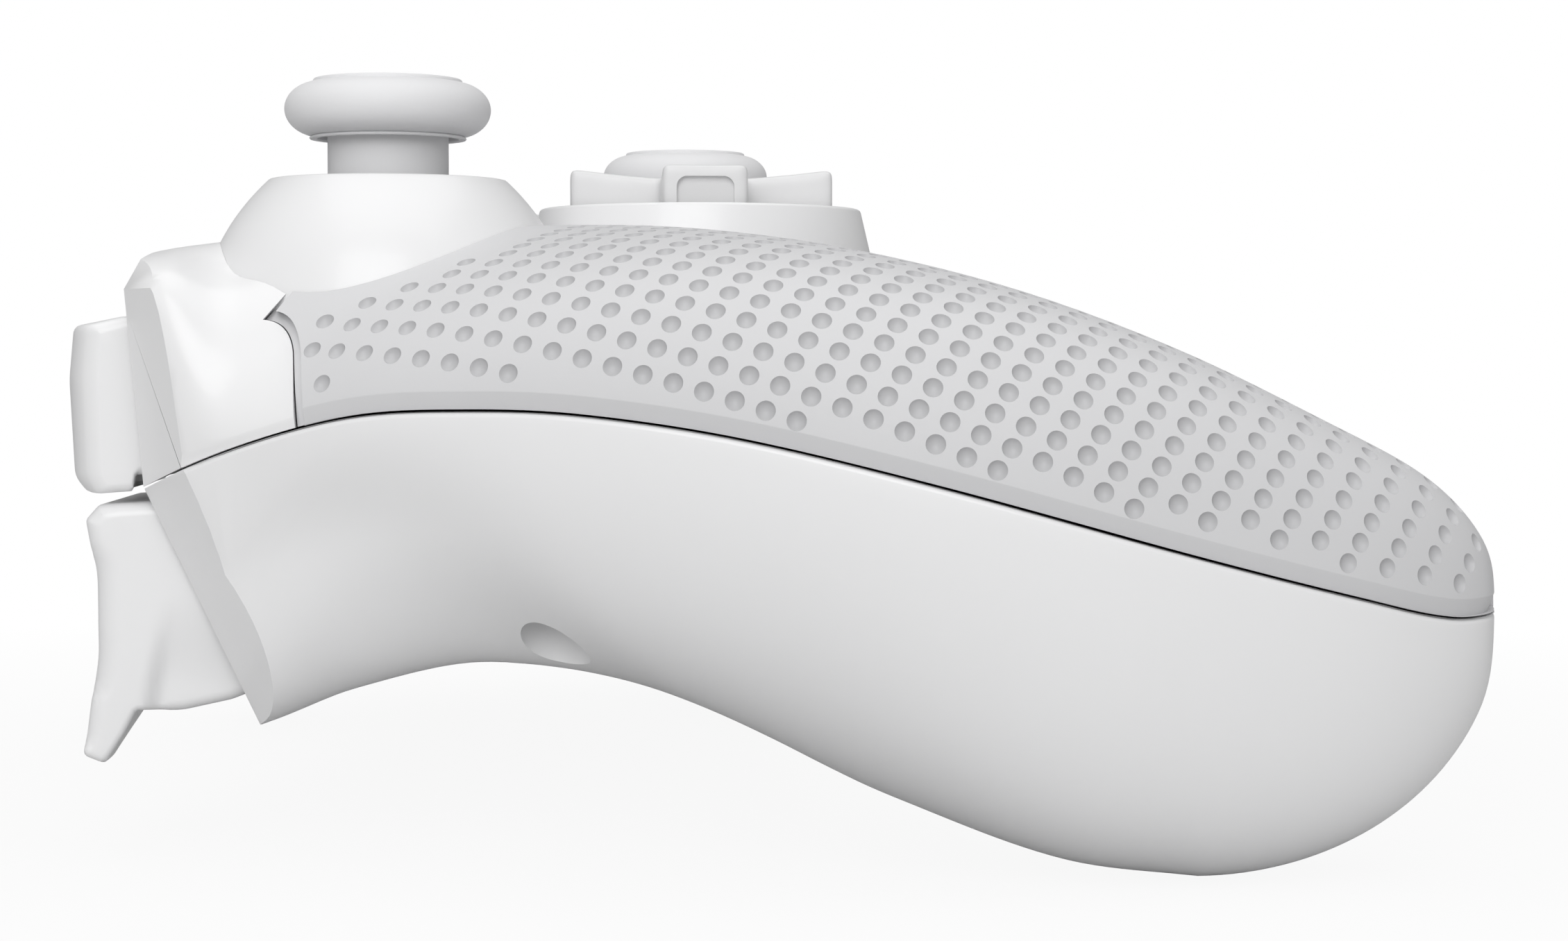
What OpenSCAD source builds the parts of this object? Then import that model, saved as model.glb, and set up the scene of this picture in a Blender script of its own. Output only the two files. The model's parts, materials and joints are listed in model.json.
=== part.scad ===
// Two-handed gamepad controller with a dimpled grip shell, offset thumbsticks and analogue triggers.
// Units are millimetres. +Z is up, +Y is the trigger side, +X is the player's right hand.
// The origin lies under the middle of the controller, level with the bottoms of its grips.

/* [Body] */
// Greatest width, across the two grips
body_w = 152; // [146:1:158]
// How far each grip end reaches behind the origin
grip_back = 55.9; // [53:0.5:58]
// Distance from the middle plane to the end of each grip
grip_end_x = 60; // [57:0.5:63]
// Where the rear edge lies between the grips
rear_edge_y = -13.3; // [-15:0.5:-11]
// Front face of the bezel
front_y = 49.7; // [48:0.1:51]
// Height of the face deck under the thumbs
deck_z = 49.8; // [48.5:0.1:51]
// Highest point of the seam between the two shells
seam_z = 35.3; // [34.3:0.1:36.3]
// Height of the seam at the end of each grip
grip_end_z = 20; // [18.5:0.5:21.5]
// Wall of the shells
wall = 2; // [1.6:0.1:2.4]
// Gap at the seam, the groove and round every part let into a shell
gap = 0.3; // [0.2:0.05:0.4]
// Clearance of a pin or button in its bore
fit = 0.05; // [0.03:0.01:0.08]

/* [Layout] */
// Distance of the left stick and the face buttons from the middle plane
outer_x = 39; // [38:0.5:40]
// How far forward the left stick and the face buttons sit
outer_y = 29.7; // [29:0.1:30.5]
// Distance of the direction pad and the right stick from the middle plane
inner_x = 20; // [19:0.5:21]
// How far forward the direction pad and the right stick sit
inner_y = 3.5; // [2.5:0.5:4.5]

/* [Thumbsticks] */
// Cap diameter
cap_d = 17; // [15:0.5:18]
// Cap thickness
cap_h = 4.7; // [4:0.1:6.2]
// Diameter of the neck under the cap
neck_d = 9.8; // [8:0.1:10]
// Height of the left stick's cap top
left_cap_z = 61.8; // [61:0.1:64]
// Height of the right stick's cap top
right_cap_z = 60; // [59.5:0.1:62]
// Tilt of a stick each way
stick_tilt = 11; // [8:1:12]
// Travel of a stick's click
stick_click = 0.6; // [0.4:0.1:0.8]

/* [Collars] */
// Height of the left stick's collar
collar_z = 53.6; // [53:0.1:54.2]
// Radius of that collar at its top edge
collar_top_r = 9.7; // [9.6:0.1:10.5]
// Radius of that collar where it stands in the shell
collar_foot_r = 15; // [14.6:0.1:15.4]
// Height of the plinths of the direction pad and of the face buttons
plinth_z = 52.2; // [51.8:0.1:52.8]
// Height of the right stick's plinth
stick_plinth_z = 51.2; // [51:0.1:51.6]
// Radius of a plinth's top
plinth_r = 14.2; // [14:0.1:14.6]
// How much wider a plinth is where it stands in the shell
plinth_taper = 1; // [0.6:0.1:1.4]

/* [Buttons] */
// Span of the direction pad
dpad_span = 23; // [22:0.1:24]
// Width of its arms
dpad_arm_w = 7.3; // [6.6:0.1:7.8]
// Tilt of the direction pad each way
dpad_tilt = 5; // [3:0.5:6]
// Diameter of a face button
button_d = 10; // [9:0.1:10.4]
// Distance of a face button from the middle of its cluster
button_pitch = 7.9; // [7.6:0.1:8]
// Travel of a face button
button_travel = 1.5; // [1:0.1:1.8]
// Diameter of the small menu buttons
menu_d = 6; // [5:0.1:6.6]
// Diameter of the home button
home_d = 11; // [10:0.1:12]

/* [Shoulder] */
// Outer end of a bumper and of a trigger, from the middle plane
shoulder_x = 47; // [46:0.5:48]
// Width of a bumper
bumper_w = 25; // [22:0.5:26]
// How far a bumper stands out of the bezel
bumper_out = 5.5; // [5:0.1:6.6]
// Width of a trigger
trigger_w = 21; // [19:0.5:22]
// Turn of a trigger
trigger_turn = 14; // [10:1:14]

/* [Hidden] */
$fn = 64;
// Stations along half of the body, and points across each section
stations = 24;
across = 12;
// The same for the inside of a shell
inner_stations = 16;
inner_across = 8;
half_w = body_w / 2;
// Overlap that keeps a cut clear of the face it passes
over = 1;

// Plan outline of the right half, from the end of the grip to the middle plane.
// The side runs from its width where the grip begins to its width beside the shoulder parts.
grip_end = [grip_end_x, -grip_back];
grip_side_x = half_w - 4;
front_side_x = shoulder_x + 10.7;
screw_side_x = mix(grip_side_x, front_side_x, 0.28);
outer_line = [
    grip_end,
    grip_end + [6.4, 2.6],
    [half_w - 4.6, -grip_back + 10],
    [half_w - 1.4, -grip_back + 20],
    [half_w, -grip_back + 32],
    [half_w - 0.8, -10],
    [grip_side_x, 4],
    [screw_side_x, 17],
    [mix(grip_side_x, front_side_x, 0.63), 29],
    [front_side_x, 39.5],
    [shoulder_x + 5, front_y - 0.7],
    [shoulder_x + 1, front_y + 5],
    [shoulder_x - 11, front_y + 7],
    [shoulder_x - 29, front_y + 7],
    [0, front_y + 7]
];
inner_line = [
    grip_end,
    grip_end + [-6.2, 2.2],
    grip_end + [-10.5, 8],
    grip_end + [-13, 16],
    grip_end + [-16.5, 25],
    [grip_end_x - 22.5, rear_edge_y - 9.2],
    [29.5, rear_edge_y - 4],
    [19, rear_edge_y - 1.2],
    [9, rear_edge_y - 0.3],
    [0, rear_edge_y]
];
// Share of the seam's rise, from the grip end to its highest point, at each Y
seam_rise = [[-56, 0], [-50, 0], [-42, 0.118], [-30, 0.32], [-11, 0.66], [3, 0.876], [14, 0.98],
    [22, 1], [31, 0.967], [40, 0.81], [49, 0.562], [58, 0.26]];
// How far the crest of the top lies below the deck at each Y
crest_drop = [[-56, 22.4], [-43, 16], [-31, 10.2], [-19, 5.6], [-7, 2.4], [4, 0.6], [13, 0],
    [30, 0.2], [47, 1.6], [58, 2.8]];
// Height of the underside along each grip, and along the middle
keel_low_y = -32;
keel_line = [[-32, 0], [-22, 1.25], [-10, 5.5], [1.5, 10.8], [10, 13.9], [18, 15.6], [24, 15.5],
    [31.8, 13], [38, 10.4], [44, 8], [58, 3]];
belly_line = [[-60, 15.5], [-20, 15.5], [20, 15.5], [31.8, 13], [38, 10.4], [44, 8], [58, 3]];
// Where the crest starts to round down to the grip end
crest_round_y = -43;
// Where the bezel meets the top shell
groove_y = 35;

function mix(a, b, t) = a + (b - a) * t;
function smooth(lo, hi, t) = let (u = min(1, max(0, (t - lo) / (hi - lo)))) u * u * (3 - 2 * u);
// Slope of a curve at one of its points, from the points on each side
function slope(p, i) = let (a = max(0, i - 1), b = min(len(p) - 1, i + 1))
    (p[b][1] - p[a][1]) / (p[b][0] - p[a][0]);
function span_at(p, y, i = 0) = i >= len(p) - 2 || y < p[i + 1][0] ? i : span_at(p, y, i + 1);
// Smooth curve through [y, value] points
function curve(p, y) = let (i = span_at(p, y), h = p[i + 1][0] - p[i][0], u = (y - p[i][0]) / h)
    p[i][1] * (1 + 2 * u) * (1 - u) * (1 - u) + slope(p, i) * h * u * (1 - u) * (1 - u)
    + p[i + 1][1] * u * u * (3 - 2 * u) + slope(p, i + 1) * h * u * u * (u - 1);
// Smooth line through plan points, with t from 0 to 1 along it
function line_at(p, t) = let (n = len(p) - 1, s = min(n - 0.000001, t * n), i = floor(s), u = s - i,
    a = p[max(0, i - 1)], b = p[i], c = p[i + 1], d = p[min(n, i + 2)])
    0.5 * (2 * b + (c - a) * u + (2 * a - 5 * b + 4 * c - d) * u * u + (3 * b - a - 3 * c + d) * u * u * u);

function seam_at(y) = grip_end_z + (seam_z - grip_end_z) * curve(seam_rise, y);
function crest_at(y) = let (q = min(1, max(0, (crest_round_y - y) / (grip_back + crest_round_y))))
    grip_end_z + (deck_z - curve(crest_drop, y) - grip_end_z) * sqrt(1 - pow(q, 4));
function grip_keel_at(y) = y > keel_low_y ? curve(keel_line, y)
    : grip_end_z * (1 - sqrt(max(0, 1 - pow((y - keel_low_y) / (grip_back + keel_low_y), 2))));
function keel_at(y, t) = mix(grip_keel_at(y), curve(belly_line, y), smooth(0.45, 0.8, t));
// Round of a section: 0 at its two edges, 1 in its middle
function bulge(w, n) = pow(max(0, 1 - pow(abs(1 - 2 * w), n)), 1 / n);
// How full each section of the top is: fuller over the deck, sloping more beside the outer controls
top_fullness = [[0, 2.3], [0.4, 2.3], [0.55, 1.9], [0.62, 1.75], [0.65, 1.93], [0.68, 2.33], [0.72, 2.9],
    [0.77, 3.7], [0.86, 6], [1, 6]];
// The bezel is fuller there, and its top falls away towards its sides by a share of its height
bezel_fullness = [[0, 2.3], [0.4, 2.3], [0.55, 1.9], [0.62, 1.8], [0.645, 2], [0.66, 2.6], [0.675, 4.5],
    [0.69, 8], [0.7, 11], [0.76, 11], [0.8, 8], [0.86, 6], [1, 6]];
// Share of that fall for each millimetre outwards of fall_x, along y
fall_curve = [[-60, 0.022], [35, 0.022], [36.5, 0.025], [39, 0.0285], [41.5, 0.031], [43.5, 0.024],
    [46, 0.014], [58, 0.012]];
fall_x = shoulder_x - 4.5;
function bezel_fall(p) = let (x = p[0] - fall_x)
    curve(fall_curve, p[1]) * (x < 2.5 ? pow(max(0, x + 2.5), 2) / 10 : x);
function top_rise(t, w, p, bezel) = bezel ? bulge(w, curve(bezel_fullness, t)) * (1 - bezel_fall(p))
    : bulge(w, curve(top_fullness, t));
function low_round(t) = mix(2.2, 5, smooth(0.5, 0.85, t));

// One point of a shell's surface: station i, step j across, set in from the outside by inset.
// The part of the solid on the far side of the seam is a floor at depth below it.
function shell_point(i, j, top, inset, floor_z, on_floor, bezel) = let (
    rows = inset > 0 ? inner_stations : stations,
    steps = inset > 0 ? inner_across : across,
    k = i <= rows ? i : 2 * rows - i,
    first = 0.036 * inset,
    t = mix(first, 1, k / rows),
    a = line_at(outer_line, t), b = line_at(inner_line, t),
    cut = k == 0 ? 0.5 : min(0.45, inset / norm(b - a)),
    w = (1 - cos(180 * j / steps)) / 2,
    p = mix(a, b, cut + (1 - 2 * cut) * w),
    s = seam_at(p[1]) + (top ? gap / 2 : -gap / 2),
    rise = top ? max(0, crest_at(p[1]) - inset - s) * top_rise(t, w, p, bezel)
        : -max(0, s - keel_at(p[1], t) - inset) * bulge(w, low_round(t)),
    z = on_floor || k == 0 ? s + (top ? -floor_z : floor_z) * (on_floor ? 1 : 0) : s + rise)
    [(i <= rows ? -1 : 1) * p[0], p[1], z];

// Solid between the seam and one side of the body. A floor_z over 0 carries it past the seam.
module body_half(top, inset, floor_z, bezel = false) {
    n = 2 * (inset > 0 ? inner_stations : stations);
    steps = inset > 0 ? inner_across : across;
    row = steps + 1;
    points = concat(
        [for (i = [0:n]) for (j = [0:steps]) shell_point(i, j, top, inset, floor_z, false, bezel)],
        [for (i = [0:n]) for (j = [0:steps]) shell_point(i, j, top, inset, floor_z, true, bezel)]);
    // All points of an end station, and both layers along an edge, share one index where they meet
    function index(i, j, low) = let (
        jj = i == 0 || i == n ? 0 : j,
        edge = floor_z == 0 && (i == 0 || i == n || j == 0 || j == steps),
        layer = low && !edge ? 1 : 0)
        layer * (n + 1) * row + i * row + jj;
    function quad(a, b, c, d) = [for (f = [[a, b, c], [a, c, d]])
        if (f[0] != f[1] && f[1] != f[2] && f[0] != f[2]) top ? [f[2], f[1], f[0]] : f];
    faces = concat(
        [for (i = [0:n - 1]) for (j = [0:steps - 1])
            each quad(index(i, j, false), index(i, j + 1, false),
                index(i + 1, j + 1, false), index(i + 1, j, false))],
        [for (i = [0:n - 1]) for (j = [0:steps - 1])
            each quad(index(i, j, true), index(i + 1, j, true),
                index(i + 1, j + 1, true), index(i, j + 1, true))],
        [for (i = [0:n - 1]) if (floor_z > 0)
            each concat(
                quad(index(i, 0, true), index(i, 0, false), index(i + 1, 0, false), index(i + 1, 0, true)),
                quad(index(i + 1, steps, true), index(i + 1, steps, false),
                    index(i, steps, false), index(i, steps, true)))]);
    polyhedron(points, faces, convexity = 6);
}

// Colours of the plastics
shell_colour = [0.86, 0.86, 0.87];
gloss_colour = [0.94, 0.94, 0.95];
dark_colour = [0.16, 0.16, 0.17];
board_colour = [0.1, 0.3, 0.18];
metal_colour = [0.7, 0.7, 0.72];

// Front of the body: lean of the bezel's face, of the bottom shell's face and of the corners
bezel_lean = 0.09;
nose_lean = 0.476;
corner_lean = 0.65;
bevel_z = deck_z - 5.3;
bevel_lean = 0.568;
nose_z = 29;
nose_y = front_y - bezel_lean * (bevel_z - nose_z);
corner_x = shoulder_x + 1;
// Line of the groove between the top shell and the bezel, seen from the side
groove_line = [[groove_y - 0.3, -20], [groove_y, 36], [groove_y + 0.6, 40.8], [groove_y + 1.4, 42],
    [groove_y + 2.9, 42.4], [groove_y + 1.2, 44.4], [groove_y + 1, 47], [groove_y + 1, 70]];

// Screws: the front pair holds the chassis, the rear pair holds the grips
screw_r = 1.25;
head_r = 2.6;
head_h = 1.8;
screw_len = 14;
boss_r = 3.6;
front_screw = [screw_side_x - 10.5, 16];
rear_screw = [grip_end_x, -43];
plate_z = 28;
plate_t = 1.4;
rear_boss_z = seam_at(rear_screw[1]);

// Chassis, board and what stands on them
plate_top = plate_z + plate_t;
board_z = plate_top + 1;
board_top = board_z + 1.2;
plate_half = [[0, -6], [shoulder_x - 3, -6], [front_screw[0] - 4.5, 9], [front_screw[0] + 4, 11],
    [front_screw[0] + 4, 21], [shoulder_x + 4, 26], [shoulder_x + 4, 36], [shoulder_x + 2.8, 41],
    [shoulder_x - 2, 45], [0, 45]];
board_half = [[0, -8], [shoulder_x - 14, -8], [shoulder_x, 12], [shoulder_x, 38], [8, 38], [8, 45], [0, 45]];
stand_points = [[44, 15], [28, 35], [26, -4], [8, 16]];
post_r = 2.2;
post_at = [shoulder_x - bumper_w - 7.5, front_y - 6.7];

// Sticks
left_at = [-outer_x, outer_y];
right_at = [inner_x, inner_y];
pad_at = [-inner_x, inner_y];
face_at = [outer_x, outer_y];
left_pivot_z = collar_z - 13.6;
right_pivot_z = stick_plinth_z - 12.6;
// How far below its pivot a stick's housing ends and its collar or plinth begins
stick_seat = 2.4;
collar_hole_r = 9.3;
collar_foot_z = 44.2;
small_pin_r = 0.8;
housing_w = 15.6;
housing_in = housing_w - 2.2;
cradle_l = housing_in - 0.8;
ear_t = 1.1;
yoke_w = cradle_l - 4;
yoke_in = yoke_w - 2.6;

// Plinths
plate_skin = 1.6;
plinth_foot_r = plinth_r + plinth_taper;
plinth_foot_z = deck_z - 2;
plinth_low_z = 41;
cup_floor_z = plinth_z - 7;
cup_floor_t = 1.2;
pad_pivot_z = plinth_z - 4.8;

// Shoulder parts
pin_r = 1.25;
trig_at = [front_y - 10.2, 25];
trig_in = shoulder_x - trigger_w;
bumper_pin_r = 1;
bumper_low = 29.9;
bumper_top = 42.4;
// How far a bumper's bar hangs below its arm in front of the bezel
bumper_drop = 1.5;
bumper_in = shoulder_x - bumper_w;
bumper_at = [bumper_in + 1.5, front_y - 6.7];

// Rumble motors
motor_r = 8;
motor_l = 18;
motor_at = [(half_w + grip_end_x) / 2 - 10, -9, 18.5];
weight_r = 8;
weight_l = 6;
weight_shaft_r = 1;

// Sets the YZ outline that follows along X
module along_x(x, w) {
    translate([x, 0, 0]) rotate([90, 0, 90]) linear_extrude(w) children();
}

module both_sides() {
    children();
    mirror([1, 0, 0]) children();
}

module mirrored_plate(half, z, t) {
    back = [for (i = [len(half) - 1:-1:0]) if (half[i][0] > 0) [-half[i][0], half[i][1]]];
    translate([0, 0, z]) linear_extrude(t) polygon(concat(half, back));
}

// Front faces seen from the side: the nose, the bezel and the bevel above it
front_heights = [-20, nose_z, bevel_z, bevel_z + 15];
function front_at(z) = z < nose_z ? nose_y - nose_lean * (nose_z - z)
    : front_y - (z < bevel_z ? bezel_lean * (bevel_z - z) : bevel_lean * (z - bevel_z));

// Everything behind the front faces and their slanting corners, with those faces set back by inset
module front_limit(inset) {
    far = half_w + 10;
    sides = [-far, -corner_x, corner_x, far];
    front = [for (z = front_heights) for (x = sides)
        [x, front_at(z) - inset - corner_lean * max(0, abs(x) - corner_x), z]];
    rear = [for (p = front) [p[0], -grip_back - 10, p[2]]];
    low = [for (k = [0:2]) for (j = [0:2]) 4 * k + j];
    polyhedron(concat(front, rear), concat(
        [for (i = low) [i, i + 1, i + 5, i + 4]],
        [for (i = low) [i + 16, i + 20, i + 21, i + 17]],
        [for (j = [0:2]) [j + 1, j, j + 16, j + 17]],
        [for (j = [12:14]) [j, j + 1, j + 17, j + 16]],
        [for (i = [0, 4, 8]) [i, i + 4, i + 20, i + 16]],
        [for (i = [3, 7, 11]) [i + 4, i, i + 16, i + 20]]), convexity = 4);
}

// Hollow skin of one half, before its holes
module skin(top, bezel = false) {
    difference() {
        intersection() {
            body_half(top, 0, 0, bezel);
            front_limit(0);
        }
        intersection() {
            body_half(top, wall, over, bezel);
            front_limit(wall);
        }
    }
}

// Everything behind the groove, or in front of it
module groove_side(front) {
    edge = front ? grip_back + 70 : -grip_back - 70;
    line = [for (p = groove_line) [p[0] + (front ? gap / 2 : -gap / 2), p[1]]];
    along_x(-half_w - 12, 2 * half_w + 24) polygon(concat(line, [[edge, 70], [edge, -20]]));
}

// Rounded outside of the left collar, grown by grow, from low up
module collar_outside(grow, low) {
    foot = [collar_foot_r, collar_foot_z];
    ctrl = [collar_foot_r - 1.1, 49.5];
    crown = [collar_top_r, collar_z];
    dome = [for (i = [0:10]) let (u = i / 10)
        foot * (1 - u) * (1 - u) + ctrl * 2 * u * (1 - u) + crown * u * u];
    rotate_extrude() polygon(concat([[0, low], [collar_foot_r + grow, low]],
        [for (p = dome) [p[0] + grow, p[1]]], [[0, collar_z]]));
}

// Outside of a plinth of the given height, grown by grow, from low up
module plinth_outside(top, grow, low) {
    rotate_extrude() polygon([[0, low], [plinth_foot_r + grow, low], [plinth_foot_r + grow, plinth_foot_z],
        [plinth_r + grow, top], [0, top]]);
}

// Places of the collar and the plinths in the shell, cut clear of them
module deck_seats() {
    translate(left_at) collar_outside(gap, collar_foot_z - 5);
    translate(pad_at) plinth_outside(plinth_z + 5, gap, plinth_low_z - over);
    translate(right_at) plinth_outside(plinth_z + 5, gap, right_pivot_z - stick_seat - over);
    translate(face_at) plinth_outside(plinth_z + 5, gap, plinth_low_z - over);
}

home_at = [0, 29];
menu_at = [11, 21];

module top_shell() {
    color(shell_colour) difference() {
        union() {
            intersection() {
                skin(true);
                groove_side(false);
            }
            intersection() {
                body_half(true, wall / 2, 0);
                both_sides() {
                    translate([front_screw[0], front_screw[1], plate_top]) cylinder(r = boss_r, h = 30);
                    translate([rear_screw[0], rear_screw[1], rear_boss_z + gap / 2])
                        cylinder(r = boss_r, h = 30);
                }
            }
        }
        deck_seats();
        both_sides() translate([front_screw[0], front_screw[1], 20]) cylinder(r = screw_r + fit, h = 16);
        both_sides() translate([rear_screw[0], rear_screw[1], 10]) cylinder(r = screw_r + fit, h = 17);
        translate([home_at[0], home_at[1], 40]) cylinder(r = home_d / 2 + fit, h = 20);
        both_sides() translate([menu_at[0], menu_at[1], 40]) cylinder(r = menu_d / 2 + fit, h = 20);
    }
}

module usb_outline(grow) {
    hull() {
        translate([-2.8, 0]) circle(r = 1.7 + grow, $fn = 32);
        translate([2.8, 0]) circle(r = 1.7 + grow, $fn = 32);
    }
}
usb_z = board_top + 1.7;
usb_mouth_y = nose_y + 0.2;
usb_l = 7.5;

module front_bezel() {
    color(gloss_colour) difference() {
        union() {
            intersection() {
                skin(true, true);
                groove_side(true);
            }
            intersection() {
                body_half(true, wall / 2, over, true);
                both_sides() translate([post_at[0], post_at[1], plate_top]) cylinder(r = post_r, h = 30);
            }
        }
        deck_seats();
        both_sides() translate([bumper_in - 0.6, front_y - wall - 1.5, 20])
            cube([bumper_w + 1.6, 20, bumper_top + 0.5 - 20]);
        translate([0, front_y + 5, usb_z]) rotate([90, 0, 0]) linear_extrude(10) usb_outline(gap);
    }
}

module bottom_shell() {
    seat_front = plate_z - 8;
    seat_rear = rear_boss_z - 9;
    color(gloss_colour) difference() {
        union() {
            skin(false);
            intersection() {
                body_half(false, wall / 2, 0);
                both_sides() {
                    translate([front_screw[0], front_screw[1], 0]) cylinder(r = boss_r, h = plate_z);
                    translate([rear_screw[0], rear_screw[1], 0])
                        cylinder(r = boss_r, h = rear_boss_z - gap / 2);
                    for (y = [4, 13])
                        translate([motor_at[0] - 7, motor_at[1] - y - 2, 0]) cube([14, 2, motor_at[2] - 3]);
                }
            }
        }
        both_sides() {
            translate([front_screw[0], front_screw[1], -over]) cylinder(r = screw_r + fit, h = 40);
            translate([rear_screw[0], rear_screw[1], -over]) cylinder(r = screw_r + fit, h = 40);
            translate([front_screw[0], front_screw[1], -over])
                cylinder(r = head_r + fit, h = seat_front + over);
            translate([rear_screw[0], rear_screw[1], -over])
                cylinder(r = head_r + fit, h = seat_rear + over);
            translate(motor_at) rotate([90, 0, 0]) cylinder(r = motor_r, h = motor_l);
            along_x(trig_in - 0.5, trigger_w + 1) translate(trig_at)
                polygon([[-8, 5], [-8, -10], [-3.5, -12.1], [-0.9, -13.3], [1, -14.1], [25, -18], [25, 5]]);
        }
        translate([0, rear_edge_y + 5, jack_z]) rotate([90, 0, 0]) cylinder(r = jack_r + gap, h = 12);
    }
}
jack_z = 23.5;
jack_r = 3.2;
jack_bore_r = 1.8;

module chassis() {
    pin_ear = [[-2.3, 3.5], [-2.3, -0.8], [-1.2, -2.4], [1, -2.4], [1.9, -0.8], [1.9, 3.5]];
    color(dark_colour) difference() {
        union() {
            mirrored_plate(plate_half, plate_z, plate_t);
            both_sides() {
                for (x = [trig_in - 2.4, shoulder_x + 0.8]) along_x(x, 1.6) translate(trig_at)
                    polygon(pin_ear);
                for (p = stand_points) translate([p[0], p[1], plate_top - 0.5])
                    cylinder(r = 2, h = board_z - plate_top + 0.5);
            }
        }
        both_sides() {
            translate([front_screw[0], front_screw[1], 20]) cylinder(r = screw_r + fit, h = 20);
            translate([bumper_at[0], bumper_at[1], 20]) cylinder(r = bumper_pin_r, h = 20);
            translate([trig_in - 5, trig_at[0], trig_at[1]]) rotate([0, 90, 0])
                cylinder(r = pin_r, h = trigger_w + 10);
        }
    }
}

module main_board() {
    color(board_colour) mirrored_plate(board_half, board_z, board_top - board_z);
}

module battery_pack() {
    color(dark_colour) translate([-20, 3, plate_z - 7.6]) cube([40, 32, 7.6]);
}

module usb_port() {
    color(metal_colour) translate([0, usb_mouth_y, usb_z]) rotate([90, 0, 0]) {
        difference() {
            linear_extrude(usb_l) usb_outline(0);
            translate([0, 0, -over]) linear_extrude(usb_l - 0.5) usb_outline(-0.4);
        }
        translate([-3.3, -0.35, 0.8]) cube([6.6, 0.7, usb_l - 1]);
    }
}

jack_mouth_y = rear_edge_y - 0.2;
jack_bore_l = 11.5;
module headset_jack() {
    color(dark_colour) difference() {
        union() {
            translate([-4, rear_edge_y + 5, jack_z - jack_r]) cube([8, 8, plate_z - jack_z + jack_r]);
            translate([0, rear_edge_y + 6, jack_z]) rotate([90, 0, 0]) cylinder(r = jack_r, h = 6.2);
        }
        translate([0, jack_mouth_y + jack_bore_l, jack_z]) rotate([90, 0, 0])
            cylinder(r = jack_bore_r, h = 20);
    }
}

// Bowl that stands on a stick's housing, with the round opening for the neck
module left_stick_collar() {
    low = left_pivot_z - stick_seat;
    color(gloss_colour) translate(left_at) difference() {
        collar_outside(0, low);
        intersection() {
            translate([0, 0, -1.2]) collar_outside(-1.8, low);
            translate([0, 0, low + 1.2]) cylinder(r = 20, h = 30);
        }
        translate([0, 0, low + 2]) cylinder(r = collar_hole_r, h = 30);
        translate([0, 0, low - over]) cylinder(r = 7.2, h = 10);
    }
}

module right_stick_plinth() {
    low = right_pivot_z - stick_seat;
    color(gloss_colour) translate(right_at) difference() {
        plinth_outside(stick_plinth_z, 0, low);
        translate([0, 0, low + 1.2])
            cylinder(r = plinth_foot_r - 2, h = stick_plinth_z - plate_skin - low - 1.2);
        translate([0, 0, low + 2]) cylinder(r = collar_hole_r, h = 30);
        translate([0, 0, low - over]) cylinder(r = 7.2, h = 10);
    }
}

// Cup with a floor, standing on the board on four posts
module cup() {
    difference() {
        plinth_outside(plinth_z, 0, plinth_low_z);
        translate([0, 0, cup_floor_z])
            cylinder(r = plinth_foot_r - 1.4, h = plinth_z - plate_skin - cup_floor_z);
        translate([0, 0, plinth_low_z - over])
            cylinder(r = plinth_foot_r - 1.4, h = cup_floor_z - cup_floor_t - plinth_low_z + over);
    }
    for (a = [45:90:315]) rotate(a) translate([7.5, 0, board_top])
        cylinder(r = 1.6, h = cup_floor_z - 0.6 - board_top);
}

module cross(grow) {
    long = dpad_span + 2 * grow;
    short = dpad_arm_w + 2 * grow;
    square([long, short], center = true);
    square([short, long], center = true);
}

module dpad_plinth() {
    ear_h = pad_pivot_z + 1.3 - cup_floor_z + 0.5;
    color(gloss_colour) translate(pad_at) difference() {
        union() {
            cup();
            for (s = [-1, 1]) translate([s * 7.6 - 0.8, -1.6, cup_floor_z - 0.5]) cube([1.6, 3.2, ear_h]);
        }
        translate([0, 0, plinth_z - plate_skin - over]) linear_extrude(plate_skin + 2 * over) cross(0.9);
        translate([0, 0, pad_pivot_z]) rotate([0, 90, 0])
            cylinder(r = small_pin_r + fit, h = 17.2, center = true);
    }
}

module dpad_rocker() {
    color(dark_colour) translate([pad_at[0], pad_at[1], pad_pivot_z]) difference() {
        union() {
            translate([-6, -6, -1.1]) cube([12, 12, 2.2]);
            rotate([0, 90, 0]) cylinder(r = small_pin_r, h = 16.8, center = true);
        }
        translate([-3.8, -3.8, -2]) cube([7.6, 7.6, 4]);
        rotate([90, 0, 0]) cylinder(r = small_pin_r + fit, h = 20, center = true);
    }
}

dpad_top = plinth_z + 3.4;
dish_r = 76;
module dpad() {
    low = plinth_z - 2.2;
    recess_w = dpad_arm_w - 3;
    color(gloss_colour) translate(pad_at) difference() {
        union() {
            translate([0, 0, low]) linear_extrude(dpad_top - low) cross(0);
            translate([0, 0, pad_pivot_z - 0.8]) cylinder(r = 2.6, h = low - pad_pivot_z + 1);
            translate([0, 0, pad_pivot_z]) rotate([90, 0, 0])
                cylinder(r = small_pin_r, h = 11.6, center = true);
        }
        translate([0, 0, dpad_top - 0.9 + dish_r]) sphere(r = dish_r);
        for (a = [0:90:270]) rotate(a) translate([dpad_span / 2 - 0.6, -recess_w / 2, plinth_z])
            cube([2, recess_w, 2.2]);
    }
}

module face_button_plinth() {
    color(gloss_colour) translate(face_at) difference() {
        cup();
        for (a = [0:90:270]) rotate(a) translate([button_pitch, 0, plinth_z - plate_skin - over])
            cylinder(r = button_d / 2 + fit, h = plate_skin + 2 * over);
    }
}

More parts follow.
